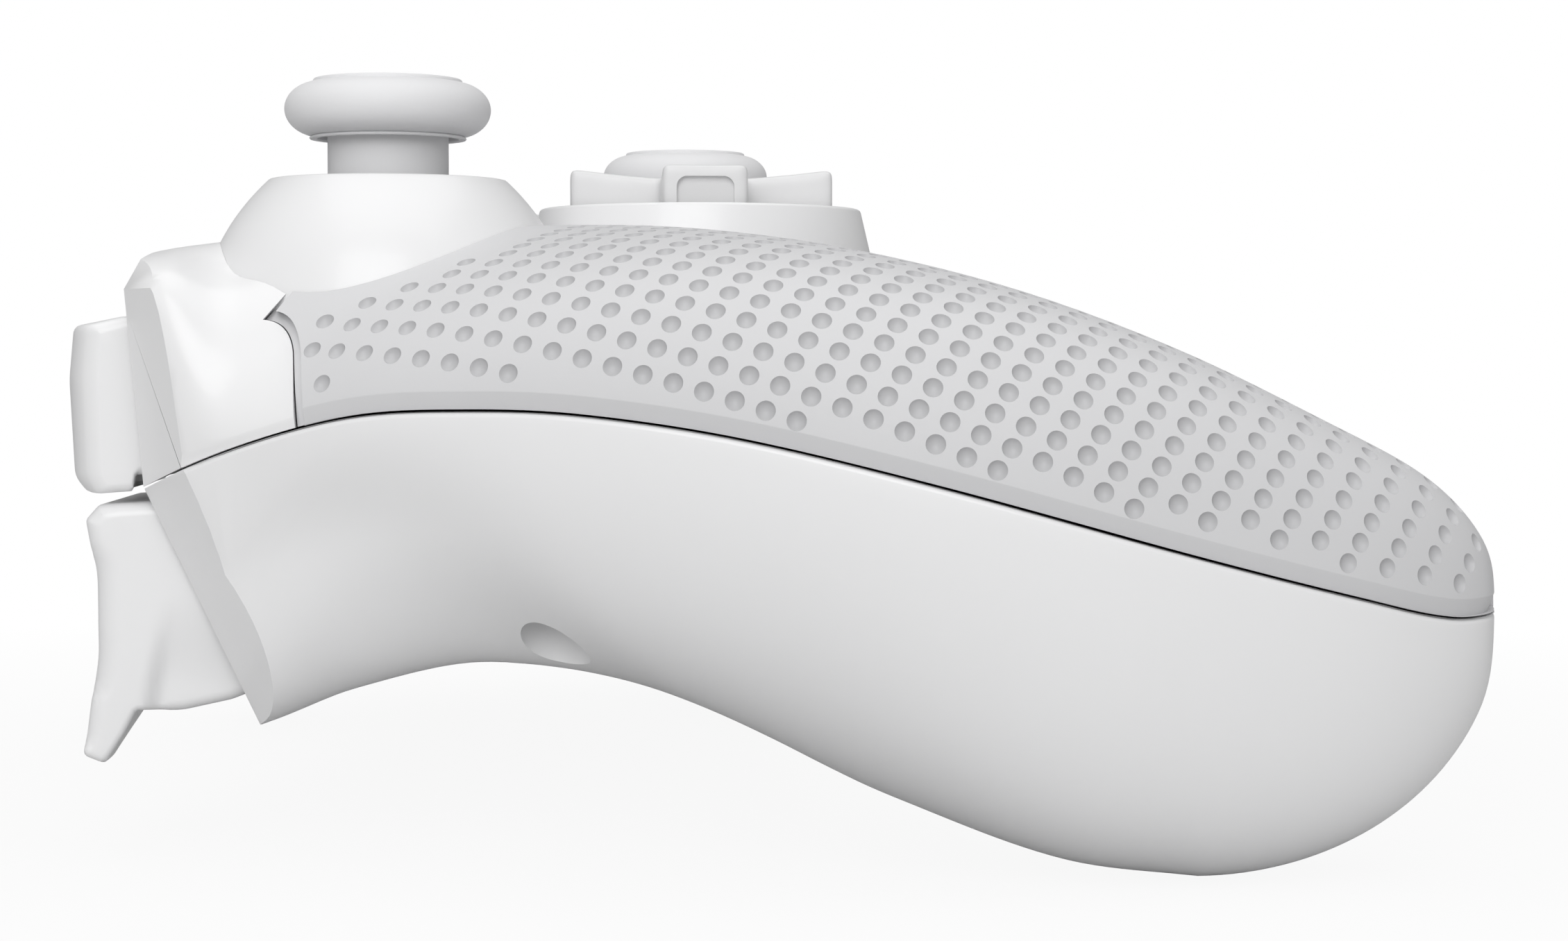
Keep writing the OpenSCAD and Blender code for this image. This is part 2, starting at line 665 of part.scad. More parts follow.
button_top = plinth_z + 2.8;
button_low = plinth_z - 3;
button_flange_r = min(button_d / 2 + 0.35, button_pitch * 0.7071 - 0.2);
module face_button(a) {
    color(gloss_colour) translate(face_at) rotate(a) translate([button_pitch, 0, 0]) {
        intersection() {
            translate([0, 0, button_low]) cylinder(r = button_d / 2, h = button_top - button_low);
            translate([0, 0, button_top - 14]) sphere(r = 14);
        }
        translate([0, 0, button_low]) cylinder(r = button_flange_r, h = 1.1);
    }
}
module face_button_right() { face_button(0); }
module face_button_front() { face_button(90); }
module face_button_left() { face_button(180); }
module face_button_rear() { face_button(270); }

deck_button_low = deck_z - 4.2;
module deck_button(d, top) {
    translate([0, 0, deck_button_low]) cylinder(r = d / 2, h = top - deck_button_low);
    translate([0, 0, deck_button_low]) cylinder(r = d / 2 + 0.7, h = 1);
}
module home_button() { color(gloss_colour) translate(home_at) deck_button(home_d, deck_z + 0.5); }
module left_menu_button() { color(gloss_colour) translate([-menu_at[0], menu_at[1]])
    deck_button(menu_d, deck_z + 0.9); }
module right_menu_button() { color(gloss_colour) translate(menu_at) deck_button(menu_d, deck_z + 0.9); }

module dpad_pad() {
    color(dark_colour) translate([pad_at[0], pad_at[1], cup_floor_z]) cylinder(r = 3, h = 0.8);
}
module face_pads() {
    color(dark_colour) translate([face_at[0], face_at[1], cup_floor_z])
        for (a = [0:90:270]) rotate(a) translate([button_pitch, 0, 0])
            cylinder(r1 = 3.6, r2 = 2.6, h = 1.2);
}
module menu_pads() {
    h = deck_button_low - 1 - board_top;
    color(dark_colour) {
        translate([home_at[0], home_at[1], board_top]) cylinder(r = 2.4, h = h);
        both_sides() translate([menu_at[0], menu_at[1], board_top]) cylinder(r = 1.8, h = h);
    }
}

// Stick housing: a square tube on the board with a guide post for the cradle
module stick_housing(at, zp) {
    color(dark_colour) translate([at[0], at[1], board_top]) {
        difference() {
            translate([-housing_w / 2, -housing_w / 2, 0])
                cube([housing_w, housing_w, zp - stick_seat - board_top]);
            translate([-housing_in / 2, -housing_in / 2, 0.8]) cube([housing_in, housing_in, 20]);
        }
        cylinder(r = 1, h = zp - 4.4 - board_top);
    }
}

// Cradle: slides down on the guide post when the stick is pressed, and carries the yoke
module stick_cradle(at, zp) {
    color(metal_colour) translate([at[0], at[1], zp]) difference() {
        union() {
            translate([-cradle_l / 2, -5, -4.2]) cube([cradle_l, 10, 1.2]);
            translate([0, 0, -5.2]) cylinder(r = 2.2, h = 1.6);
            for (s = [-1, 1]) translate([s * (cradle_l - ear_t) / 2 - ear_t / 2, -2, -3.5])
                cube([ear_t, 4, 4.8]);
        }
        translate([0, 0, -6]) cylinder(r = 1 + fit, h = 4);
        rotate([0, 90, 0]) cylinder(r = small_pin_r + fit, h = 20, center = true);
    }
}

// Yoke: tilts fore and aft in the cradle
module stick_yoke(at, zp) {
    color(metal_colour) translate([at[0], at[1], zp]) difference() {
        union() {
            translate([-yoke_w / 2, -yoke_w / 2, -1.3]) cube([yoke_w, yoke_w, 2.6]);
            rotate([0, 90, 0]) cylinder(r = small_pin_r, h = cradle_l, center = true);
        }
        translate([-yoke_in / 2, -yoke_in / 2, -2]) cube([yoke_in, yoke_in, 4]);
        rotate([90, 0, 0]) cylinder(r = small_pin_r + fit, h = 20, center = true);
    }
}

// Stick: shaft, dust skirt, neck and cap, tilting sideways in the yoke
skirt_r = 11.8;
skirt_t = 1;
skirt_edge = 62;
shaft_r = 1.6;
module stick(at, zp, top) {
    h = top - zp;
    neck = neck_d / 2;
    rim = cap_h / 2;
    rim_at = [cap_d / 2 - rim, h - rim];
    inner_r = skirt_r - skirt_t;
    recess = h - cap_h + 1;
    color(shell_colour) translate([at[0], at[1], zp]) {
        rotate_extrude() polygon(concat(
            [[0, -1.6], [shaft_r, -1.6]],
            [for (a = [asin(shaft_r / inner_r):7:skirt_edge]) inner_r * [sin(a), cos(a)]],
            [inner_r * [sin(skirt_edge), cos(skirt_edge)]],
            [for (a = [skirt_edge:-7:asin(neck / skirt_r)]) skirt_r * [sin(a), cos(a)]],
            [[neck, sqrt(skirt_r * skirt_r - neck * neck)], [neck, recess],
                [rim_at[0] + rim * cos(80), recess]],
            [for (a = [-80:20:80]) rim_at + rim * [cos(a), sin(a)]],
            [[rim_at[0], h], [rim_at[0] - 1, h - 0.3], [0, h - 0.5]]));
        rotate([90, 0, 0]) cylinder(r = small_pin_r, h = yoke_w - 0.4, center = true);
    }
}

module left_stick_housing() { stick_housing(left_at, left_pivot_z); }
module left_stick_cradle() { stick_cradle(left_at, left_pivot_z); }
module left_stick_yoke() { stick_yoke(left_at, left_pivot_z); }
module left_stick() { stick(left_at, left_pivot_z, left_cap_z); }
module right_stick_housing() { stick_housing(right_at, right_pivot_z); }
module right_stick_cradle() { stick_cradle(right_at, right_pivot_z); }
module right_stick_yoke() { stick_yoke(right_at, right_pivot_z); }
module right_stick() { stick(right_at, right_pivot_z, right_cap_z); }

// Right bumper: a hollow bar that swings on a post at its inner end
module bumper() {
    back = front_y - 3.4;
    out = front_y + bumper_out;
    h = bumper_top - bumper_low;
    bar_low = bumper_low - bumper_drop;
    outline = [[back, bumper_low], [front_y + 0.3, bumper_low], [front_y + 0.6, bar_low], [out - 2, bar_low],
        [out - 0.9, bar_low + 1], [out, bumper_top - 4], [out - 0.6, bumper_top - 1.5],
        [out - 1.8, bumper_top - 0.5], [front_y + 1.5, bumper_top], [back, bumper_top]];
    color(gloss_colour) difference() {
        union() {
            intersection() {
                along_x(bumper_in, bumper_w) polygon(outline);
                translate([0, 0, bar_low - over]) linear_extrude(bumper_top - bar_low + 2 * over) polygon([
                    [bumper_in - over, back - over], [shoulder_x, back - over], [shoulder_x, front_y + 2.4],
                    [shoulder_x - 1.6, front_y + 4.6], [shoulder_x - 5, out], [shoulder_x - 8, out + over],
                    [bumper_in - over, out + over]]);
            }
            translate([bumper_at[0], bumper_at[1], bumper_low + 0.3]) cylinder(r = 2.3, h = h - 1);
            translate([bumper_in + 0.1, bumper_at[1], bumper_low + 0.3])
                cube([3.7, front_y - 2 - bumper_at[1], h - 1]);
        }
        translate([bumper_at[0], bumper_at[1], bumper_low - over])
            cylinder(r = bumper_pin_r + fit, h = h + 2 * over);
        translate([bumper_in + 5.5, back - over, bumper_low + 2]) cube([bumper_w - 8, 7, h - 4]);
    }
}
module right_bumper() { bumper(); }
module left_bumper() { mirror([1, 0, 0]) bumper(); }

// Right trigger: a finger lever with a hollow quadrant, turning on its pin
module trigger() {
    outline = [[0, 2.4], [13.1, 2.4], [14.1, 1.2], [13.4, -4.4], [13.5, -10.6], [14.3, -17.1],
        [13.8, -18.1],
        [12.8, -18.3], [11.4, -16.4], [10.1, -14.1], [8, -14], [6.4, -13.7], [3.7, -13], [1.5, -12.6],
        [-0.5, -12], [-2, -1]];
    hollow = [[10.3, -1.6], [10.2, -10.5], [8.3, -12.2], [3.6, -11.3], [1.4, -10.9], [-4, -10.2],
        [-4, -3.2],
        [3.2, -3.2], [3.2, -1.6]];
    color(gloss_colour) difference() {
        union() {
            along_x(trig_in, trigger_w) translate(trig_at) polygon(outline);
            translate([trig_in, trig_at[0], trig_at[1]]) rotate([0, 90, 0])
                cylinder(r = 2.6, h = trigger_w);
        }
        along_x(trig_in + 1.8, trigger_w - 3.6) translate(trig_at) polygon(hollow);
        translate([trig_in - over, trig_at[0], trig_at[1]]) rotate([0, 90, 0])
            cylinder(r = pin_r + fit, h = trigger_w + 2 * over);
        translate([trig_in + trigger_w / 2 - 4, trig_at[0], trig_at[1]]) rotate([0, 90, 0])
            cylinder(r = 4.2, h = 8);
    }
}
module right_trigger() { trigger(); }
module left_trigger() { mirror([1, 0, 0]) trigger(); }

module trigger_pins() {
    color(metal_colour) both_sides() translate([trig_in - 2.4, trig_at[0], trig_at[1]]) rotate([0, 90, 0])
        cylinder(r = pin_r, h = trigger_w + 4.8);
}

module bumper_pins() {
    color(metal_colour) both_sides() translate([bumper_at[0], bumper_at[1], plate_z])
        cylinder(r = bumper_pin_r, h = bumper_top - plate_z - 0.4);
}

// Round wire wound about the X axis
module coil(r, wire, pitch, turns) {
    rings = 10;
    sides = 6;
    n = turns * rings;
    points = [for (i = [0:n]) for (j = [0:sides - 1])
        let (a = 90 - 360 * i / rings, b = 360 * j / sides, q = r + wire * cos(b))
        [pitch * i / rings + wire * sin(b), q * cos(a), q * sin(a)]];
    sleeve = [for (i = [0:n - 1]) for (j = [0:sides - 1])
        let (a = i * sides + j, b = i * sides + (j + 1) % sides)
        each [[a, a + sides, b], [b, a + sides, b + sides]]];
    caps = [[for (j = [0:sides - 1]) j], [for (j = [sides - 1:-1:0]) n * sides + j]];
    polyhedron(points, concat(sleeve, caps), convexity = 10);
}

spring_r = 2.3;
spring_wire = 0.35;
module trigger_springs() {
    leg_z = plate_z - spring_wire;
    color(metal_colour) both_sides() translate([trig_in + trigger_w / 2, trig_at[0], trig_at[1]]) {
        translate([-2, 0, 0]) coil(spring_r, spring_wire, 1, 4);
        translate([-2, 0.3, leg_z - trig_at[1]]) rotate([90, 0, 0]) cylinder(r = spring_wire, h = 6);
    }
}

module motors() {
    color(metal_colour) both_sides() difference() {
        translate(motor_at) rotate([90, 0, 0]) cylinder(r = motor_r, h = motor_l);
        translate([motor_at[0], motor_at[1] - motor_l + 10, motor_at[2]]) rotate([90, 0, 0])
            cylinder(r = weight_shaft_r + fit, h = 20);
    }
}

// Off-centre weight on its shaft, hanging below the motor's axis
module rumble_weight() {
    back = motor_l + 0.8;
    color(metal_colour) translate(motor_at) rotate([90, 0, 0]) {
        translate([0, 0, motor_l - 9]) cylinder(r = weight_shaft_r, h = 9.8 + weight_l + 0.6);
        difference() {
            translate([0, 0, back]) cylinder(r = weight_r, h = weight_l);
            translate([-10, 2.2, back - over]) cube([20, 20, weight_l + 2 * over]);
        }
    }
}
module right_rumble_weight() { rumble_weight(); }
module left_rumble_weight() { mirror([1, 0, 0]) rumble_weight(); }

module screw(at, seat) {
    translate([at[0], at[1], seat]) difference() {
        union() {
            translate([0, 0, -head_h]) cylinder(r = head_r, h = head_h);
            translate([0, 0, -0.5]) cylinder(r = screw_r, h = screw_len + 0.5);
        }
        translate([0, 0, -head_h - over]) cylinder(r = 1.3, h = over + 1, $fn = 6);
    }
}
module screws() {
    color(metal_colour) both_sides() {
        screw(front_screw, plate_z - 8);
        screw(rear_screw, rear_boss_z - 9);
    }
}

top_shell();
front_bezel();
bottom_shell();
chassis();
main_board();
battery_pack();
usb_port();
headset_jack();
left_stick_collar();
right_stick_plinth();
dpad_plinth();
face_button_plinth();
dpad_pad();
face_pads();
menu_pads();
left_stick_housing();
left_stick_cradle();
left_stick_yoke();
left_stick();
right_stick_housing();
right_stick_cradle();
right_stick_yoke();
right_stick();
dpad_rocker();
dpad();
face_button_right();
face_button_front();
face_button_left();
face_button_rear();
home_button();
left_menu_button();
right_menu_button();
left_bumper();
right_bumper();
left_trigger();
right_trigger();
trigger_pins();
bumper_pins();
trigger_springs();
motors();
left_rumble_weight();
right_rumble_weight();
screws();
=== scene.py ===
import json
import math

import bmesh
import bpy
import numpy as np
from mathutils import Matrix, Vector
from mathutils.geometry import delaunay_2d_cdt
from mathutils.kdtree import KDTree


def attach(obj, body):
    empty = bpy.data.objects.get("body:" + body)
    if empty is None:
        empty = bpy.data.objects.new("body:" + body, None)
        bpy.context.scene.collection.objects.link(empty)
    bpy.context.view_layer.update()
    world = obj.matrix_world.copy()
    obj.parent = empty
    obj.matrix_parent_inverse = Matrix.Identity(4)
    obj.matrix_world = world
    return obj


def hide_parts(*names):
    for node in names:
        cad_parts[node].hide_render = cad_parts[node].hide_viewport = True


# White gamepad controller: lofted shells with dimples, thumbsticks, pads, buttons and shoulder parts.
# All shapes are worked out in millimetres and become metres when a piece is finished.

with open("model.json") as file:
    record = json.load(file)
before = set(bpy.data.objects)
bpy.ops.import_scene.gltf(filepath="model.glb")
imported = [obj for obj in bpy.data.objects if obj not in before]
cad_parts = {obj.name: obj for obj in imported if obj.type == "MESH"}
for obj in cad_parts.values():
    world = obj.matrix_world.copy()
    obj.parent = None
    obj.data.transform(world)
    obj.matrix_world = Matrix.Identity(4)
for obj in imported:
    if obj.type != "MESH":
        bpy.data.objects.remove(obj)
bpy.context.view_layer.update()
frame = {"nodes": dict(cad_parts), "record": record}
MM = 0.001
MIRROR = np.array((-1, 1, 1))

# Body
body_w = 152
half_w = body_w / 2 - 0.01
grip_back = 55.9
grip_end_x = 60
grip_end_z = 20
rear_edge_y = -13.3
front_y = 49.7
deck_z = 49.8
seam_z = 35.3
wall = 2
gap = 0.18
fit = 0.05
shoulder_x = 47

# Layout of the deck
left_at = (-39, 29.7)
right_at = (20, 3.5)
pad_at = (-20, 3.5)
face_at = (39, 29.7)
home_at = (0, 29)
menu_at = (11, 21)
home_r = 5.5
menu_r = 3.0

# Sticks, collars and plinths
cap_r = 8.35
cap_h = 4.7
neck_r = 4.9
left_top_z = 61.8
right_top_z = 60
collar_z = 53.6
collar_top_r = 9.7
collar_foot_r = 15
collar_foot_z = 44.2
collar_hole_r = 9.3
plinth_z = 52.2
stick_plinth_z = 51.2
plinth_r = 14.2
plinth_foot_r = 15.2
plinth_foot_z = deck_z - 2
plinth_low_z = 41
left_pivot_z = collar_z - 13.6
right_pivot_z = stick_plinth_z - 12.6
stick_seat = 2.4
skirt_r = 11.8

# Plan outline of the right half, from the end of the grip to the middle plane
grip_side_x = half_w - 4
front_side_x = shoulder_x + 10.7
OUTER_LINE = np.array([
    (grip_end_x, -grip_back),
    (grip_end_x + 6.4, 2.6 - grip_back),
    (half_w - 4.6, 10 - grip_back),
    (half_w - 1.4, 20 - grip_back),
    (half_w, 32 - grip_back),
    (half_w - 0.8, -10),
    (grip_side_x, 4),
    (half_w - 8, 17),
    (half_w - 13, 29),
    (front_side_x, 39.5),
    (shoulder_x + 5, front_y - 0.7),
    (shoulder_x + 1, front_y + 5),
    (shoulder_x - 11, front_y + 7),
    (shoulder_x - 29, front_y + 7),
    (0, front_y + 7)])
INNER_LINE = np.array([
    (grip_end_x, -grip_back),
    (grip_end_x - 6.2, 2.2 - grip_back),
    (grip_end_x - 10.5, 8 - grip_back),
    (grip_end_x - 13, 16 - grip_back),
    (grip_end_x - 16.5, 25 - grip_back),
    (grip_end_x - 22.5, rear_edge_y - 9.2),
    (29.5, rear_edge_y - 4),
    (19, rear_edge_y - 1.2),
    (9, rear_edge_y - 0.3),
    (0, rear_edge_y)])
# Share of the seam's rise, drop of the crest and height of the underside, each as (y, value)
SEAM_RISE = np.array([(-56, 0), (-50, 0), (-42, 0.118), (-30, 0.32), (-11, 0.66), (3, 0.876), (14, 0.98),
                      (22, 1), (31, 0.967), (40, 0.81), (49, 0.562), (58, 0.26)])
CREST_DROP = np.array([(-56, 22.4), (-43, 16), (-31, 10.2), (-19, 5.6), (-7, 2.4), (4, 0.6), (13, 0),
                       (30, 0.2), (47, 1.6), (58, 2.8)])
KEEL_LINE = np.array([(-32, 0.02), (-22, 1.25), (-10, 5.4), (1.5, 10.1), (10, 12.7), (18, 14.5), (24, 14.9),
                      (31.8, 13), (38, 10.4), (44, 8), (58, 3)])
BELLY_LINE = np.array([(-60, 15.5), (-20, 15.5), (20, 15.5), (31.8, 13), (38, 10.4), (44, 8), (58, 3)])
# How full each section of the top is, from the grip to the middle plane
TOP_FULLNESS = np.array([(0, 2.3), (0.4, 2.3), (0.55, 1.9), (0.62, 1.75), (0.65, 1.93), (0.68, 2.33),
                         (0.72, 2.9), (0.77, 3.7), (0.86, 6), (1, 6)])
BEZEL_FULLNESS = np.array([(0, 2.3), (0.4, 2.3), (0.55, 1.9), (0.62, 1.8), (0.645, 2), (0.66, 2.6),
                           (0.675, 4.5), (0.69, 8), (0.7, 11), (0.76, 11), (0.8, 8), (0.86, 6), (1, 6)])
LOW_FULLNESS = np.array([(0, 2.2), (0.5, 2.2), (0.58, 2.5), (0.64, 4.5), (0.69, 8), (0.78, 8), (0.88, 5),
                         (1, 5)])
# How far the side of the bottom shell draws in below the seam beside the nose
draw_in, draw_deep = 3.0, 9.0
# How far the bezel's top falls with each millimetre outwards, as a share of its height
BEZEL_FALL = np.array([(-60, 0.022), (35, 0.022), (36.5, 0.025), (39, 0.0285), (41.5, 0.031), (43.5, 0.022),
                       (46, 0.01), (58, 0.008)])
fall_x, fall_soft = 42.5, 2.5
keel_low_y = KEEL_LINE[0, 0]
crest_round_y = -43


# Curves and sections of the body

def smooth(lo, hi, t):
    u = np.clip((t - lo) / (hi - lo), 0, 1)
    return u * u * (3 - 2 * u)


def mix(a, b, t):
    return a + (b - a) * t


def curve(points, y):
    """Smooth curve through (y, value) points."""
    x, v = points[:, 0], points[:, 1]
    before = np.maximum(np.arange(len(x)) - 1, 0)
    after = np.minimum(np.arange(len(x)) + 1, len(x) - 1)
    slope = (v[after] - v[before]) / (x[after] - x[before])
    i = np.clip(np.searchsorted(x, y, side="right") - 1, 0, len(x) - 2)
    h = x[i + 1] - x[i]
    u = (y - x[i]) / h
    rise = v[i] * (1 + 2 * u) * (1 - u) ** 2 + slope[i] * h * u * (1 - u) ** 2
    return rise + v[i + 1] * u * u * (3 - 2 * u) + slope[i + 1] * h * u * u * (u - 1)


def lengths(line):
    """Length along a line up to each of its points."""
    step = np.linalg.norm(np.diff(line, axis=0), axis=1)
    return np.concatenate([[0], np.cumsum(step)])


def line_at(points, t):
    """Smooth line through plan points, with t from 0 to 1 along it."""
    n = len(points) - 1
    s = np.minimum(n - 1e-6, t * n)
    i = np.floor(s).astype(int)
    u = (s - i)[:, None]
    a, b = points[np.maximum(0, i - 1)], points[i]
    c, d = points[i + 1], points[np.minimum(n, i + 2)]
    bend = (2 * a - 5 * b + 4 * c - d) * u ** 2 + (3 * b - a - 3 * c + d) * u ** 3
    return 0.5 * (2 * b + (c - a) * u + bend)


def seam_at(y):
    return grip_end_z + (seam_z - grip_end_z) * curve(SEAM_RISE, y)


def crest_at(y):
    q = np.clip((crest_round_y - y) / (grip_back + crest_round_y), 0, 1)
    return grip_end_z + (deck_z - curve(CREST_DROP, y) - grip_end_z) * np.sqrt(1 - q ** 4)


def keel_at(y, t):
    q = (y - keel_low_y) / (grip_back + keel_low_y)
    end = KEEL_LINE[0, 1] + grip_end_z * (1 - np.sqrt(np.clip(1 - q ** 2, 0, 1)))
    grip = np.where(y > keel_low_y, curve(KEEL_LINE, np.maximum(y, keel_low_y)), end)
    return mix(grip, curve(BELLY_LINE, y), smooth(0.45, 0.8, t))


def bezel_fall(x, y):
    """Share of its height by which the bezel's top falls away towards its sides."""
    eased = np.maximum(0, x - fall_x + fall_soft) ** 2 / (4 * fall_soft)
    run = np.where(x < fall_x + fall_soft, eased, x - fall_x)
    return curve(BEZEL_FALL, y) * run


def bulge(w, n):
    return np.maximum(0, 1 - np.abs(1 - 2 * w) ** n) ** (1 / n)


def bulge_place(q, n):
    """Where across a section its round reaches the share q of its height."""
    return (1 - (1 - q ** n) ** (1 / n)) / 2


def edge_normals(line, other):
    """Unit plan vectors from an outline towards the other one, square to the outline."""
    run = np.gradient(line, axis=0)
    normal = np.stack([-run[:, 1], run[:, 0]], axis=1)
    normal /= np.linalg.norm(normal, axis=1, keepdims=True) + 1e-12
    normal *= np.sign(np.sum(normal * (other - line), axis=1, keepdims=True))
    normal[0] = (0, 1)
    normal[-1] = (0, np.sign(other[-1, 1] - line[-1, 1]))
    return normal


def half_surface(top, inset, rows, steps, edge, bezel=False):
    """Points of the right half of one shell surface. edge is a list of (height, set-back) at the seam."""
    t = mix(0.036 * inset, 1, np.arange(rows + 1) / rows)
    a, b = line_at(OUTER_LINE, t), line_at(INNER_LINE, t)
    fullness = LOW_FULLNESS if not top else BEZEL_FULLNESS if bezel else TOP_FULLNESS
    power = curve(fullness, t)
    side = 1 if top else -1

    def height(y):
        far = crest_at(y) if top else keel_at(y, t if y.ndim == 1 else t[:, None])
        return np.maximum(0, side * (far - seam_at(y)) - gap / 2 - inset)

    trim = np.minimum(0.45, inset / np.maximum(np.linalg.norm(b - a, axis=1), 1e-6))
    trim[0] = 0.5 if inset > 0 else 0
    middle = (1 - np.cos(np.pi * np.arange(steps + 1) / steps)) / 2
    if not edge:
        w = np.tile(middle, (rows + 1, 1))
        back = np.zeros((rows + 1, steps + 1, 2))
    else:
        rise, set_back = np.array(edge).T
        ends = []
        for line in (a, b):
            room = np.maximum(height(line[:, 1]), 1e-6)
            fit_in = np.minimum(1, 0.6 * room / rise[-1])
            share = np.clip(rise[None, :] * (fit_in / room)[:, None], 0, 1)
            ends.append(bulge_place(share, power[:, None]))
        low, high = ends[0], 1 - ends[1][:, ::-1]
        span = low[:, -1:] + (high[:, :1] - low[:, -1:]) * middle[None, :]
        w = np.concatenate([low[:, :-1], span, high[:, 1:]], axis=1)
        back = np.zeros(w.shape + (2,))
        back[:, :len(rise)] = edge_normals(a, b)[:, None] * set_back[None, :, None]
        back[:, -len(rise):] = edge_normals(b, a)[:, None] * set_back[None, ::-1, None]
    plan = a[:, None] + (b - a)[:, None] * (trim[:, None] + (1 - 2 * trim[:, None]) * w)[..., None]
    y = plan[..., 1]
    seam = seam_at(y) + side * gap / 2
    rise = bulge(w, power[:, None])
    if bezel:
        rise = rise * (1 - bezel_fall(plan[..., 0], y))
    z = seam + side * height(y) * rise
    z[0] = seam[0]
    if not top:
        beside = smooth(0.5, 0.62, t) * (1 - smooth(0.74, 0.82, t))
        drawn = draw_in * beside[:, None] * smooth(0, draw_deep, seam - z)
        plan[..., 0] -= drawn * (1 - smooth(0.05, 0.35, w))
    plan = plan + back
    return np.dstack([plan, z]), np.dstack([plan, seam])


# Mesh helpers

def link(name, data):
    """New object in the scene."""
    obj = bpy.data.objects.new(name, data)
    bpy.context.scene.collection.objects.link(obj)
    return obj


def new_object(points, faces, name="piece"):
    mesh = bpy.data.meshes.new(name)
    mesh.from_pydata(np.asarray(points, float).tolist(), [], faces)
    return link(name, mesh)


def outward(obj):
    """Turns a closed piece inside out if its faces point inwards."""
    bm = bmesh.new()
    bm.from_mesh(obj.data)
    volume = bm.calc_volume(signed=True)
    bm.free()
    if volume < 0:
        obj.data.flip_normals()
    return obj


def solid(points, faces, merge=1e-4, turned=False):
    """Closed piece with its points merged and its faces outwards. A turned one also loses empty faces."""
    obj = new_object(points, faces)
    bm = bmesh.new()
    bm.from_mesh(obj.data)
    bmesh.ops.remove_doubles(bm, verts=bm.verts, dist=merge)
    if turned:
        bmesh.ops.dissolve_degenerate(bm, dist=1e-6, edges=bm.edges)
        bmesh.ops.delete(bm, geom=[e for e in bm.edges if not e.link_faces], context="EDGES")
    bmesh.ops.recalc_face_normals(bm, faces=bm.faces)
    bm.to_mesh(obj.data)
    bm.free()
    return obj


def body_half(top, inset=0.0, past=0.0, rows=64, steps=40, edge=None, bezel=False):
    """Closed solid between the seam and one side of the body; past carries it beyond the seam."""
    surfaces = half_surface(top, inset, rows, steps, edge, bezel)
    skin, floor = (np.concatenate([s * MIRROR, s[-2::-1]]) for s in surfaces)
    floor = floor + np.array((0, 0, -past if top else past))
    n, cols = skin.shape[:2]
    above = np.arange(n * cols).reshape(n, cols)
    below = above + n * cols
    rim = [(0, j) for j in range(cols)] + [(i, cols - 1) for i in range(1, n)]
    rim += [(n - 1, j) for j in range(cols - 2, -1, -1)] + [(i, 0) for i in range(n - 2, 0, -1)]
    faces = []
    turns = (above, ((0, 0), (0, 1), (1, 1), (1, 0))), (below, ((1, 0), (1, 1), (0, 1), (0, 0)))
    for grid, corners in turns:
        if past == 0 and grid is below:
            for place in rim:
                below[place] = above[place]
        parts = [grid[i:n - 1 + i, j:cols - 1 + j].ravel() for i, j in corners]
        faces.append(np.stack(parts, axis=1))
    if past > 0:
        sides = zip(rim, rim[1:] + rim[:1])
        faces.append(np.array([(above[q], above[p], below[p], below[q]) for p, q in sides]))
    faces = np.concatenate(faces)
    used, faces = np.unique(faces, return_inverse=True)
    points = np.concatenate([skin.reshape(-1, 3), floor.reshape(-1, 3)])[used]
    return outward(new_object(points, faces.reshape(-1, 4).tolist()))


def prism(outline, axis, lo, hi):
    """Solid of an outline carried along an axis: YZ outlines along x, XZ along y, XY along z."""
    n = len(outline)
    turn = {"x": (2, 0, 1), "y": (0, 2, 1), "z": (0, 1, 2)}[axis]
    points = np.array([(u, v, w) for w in (lo, hi) for u, v in outline], float)[:, turn]
    faces = [tuple(range(n)), tuple(range(2 * n - 1, n - 1, -1))]
    faces += [(i, (i + 1) % n, n + (i + 1) % n, n + i) for i in range(n)]
    return solid(points, faces)


def lathe(profile, at=(0, 0), segments=128):
    """Solid turned about a vertical line at a plan point, from (radius, height) points."""
    profile = np.array(profile, float)
    angle = 2 * np.pi * np.arange(segments) / segments
    ring = np.stack([np.cos(angle), np.sin(angle)], axis=1)
    points = []
    for r, z in profile:
        points += [(at[0] + r * c, at[1] + r * s, z) for c, s in ring]
    n = len(profile)
    faces = []
    for i in range(n):
        k = (i + 1) % n
        for j in range(segments):
            m = (j + 1) % segments
            faces.append((i * segments + j, i * segments + m, k * segments + m, k * segments + j))
    return solid(points, faces, turned=True)


def rod(at, r, lo, hi, segments=64):
    return lathe([(0, lo), (r, lo), (r, hi), (0, hi)], at, segments)


def apply_modifiers(obj):
    depsgraph = bpy.context.evaluated_depsgraph_get()
    mesh = bpy.data.meshes.new_from_object(obj.evaluated_get(depsgraph))
    obj.modifiers.clear()
    old = obj.data
    obj.data = mesh
    bpy.data.meshes.remove(old)


def combine(obj, tools, operation):
    """Cuts, joins or intersects obj with each tool in turn, and takes the tools away."""
    for tool in tools:
        step = obj.modifiers.new("step", "BOOLEAN")
        step.operation = operation
        step.solver = "MANIFOLD"
        step.object = tool
        apply_modifiers(obj)
        bpy.data.objects.remove(tool)
    return obj


def cut(obj, *tools):
    return combine(obj, tools, "DIFFERENCE")


def keep(obj, *tools):
    return combine(obj, tools, "INTERSECT")


def join(obj, *tools):
    return combine(obj, tools, "UNION")


def bezier(a, b, c, steps):
    """Points of a curve from a to c that leaves and arrives along the lines to b."""
    a, b, c = (np.array(p, float) for p in (a, b, c))
    u = np.linspace(0, 1, steps + 1)[:, None]
    return [tuple(p) for p in a * (1 - u) ** 2 + 2 * b * u * (1 - u) + c * u ** 2]


def arc(centre, r, start, end, steps):
    angle = np.radians(np.linspace(start, end, steps + 1))
    return [(centre[0] + r * math.cos(a), centre[1] + r * math.sin(a)) for a in angle]


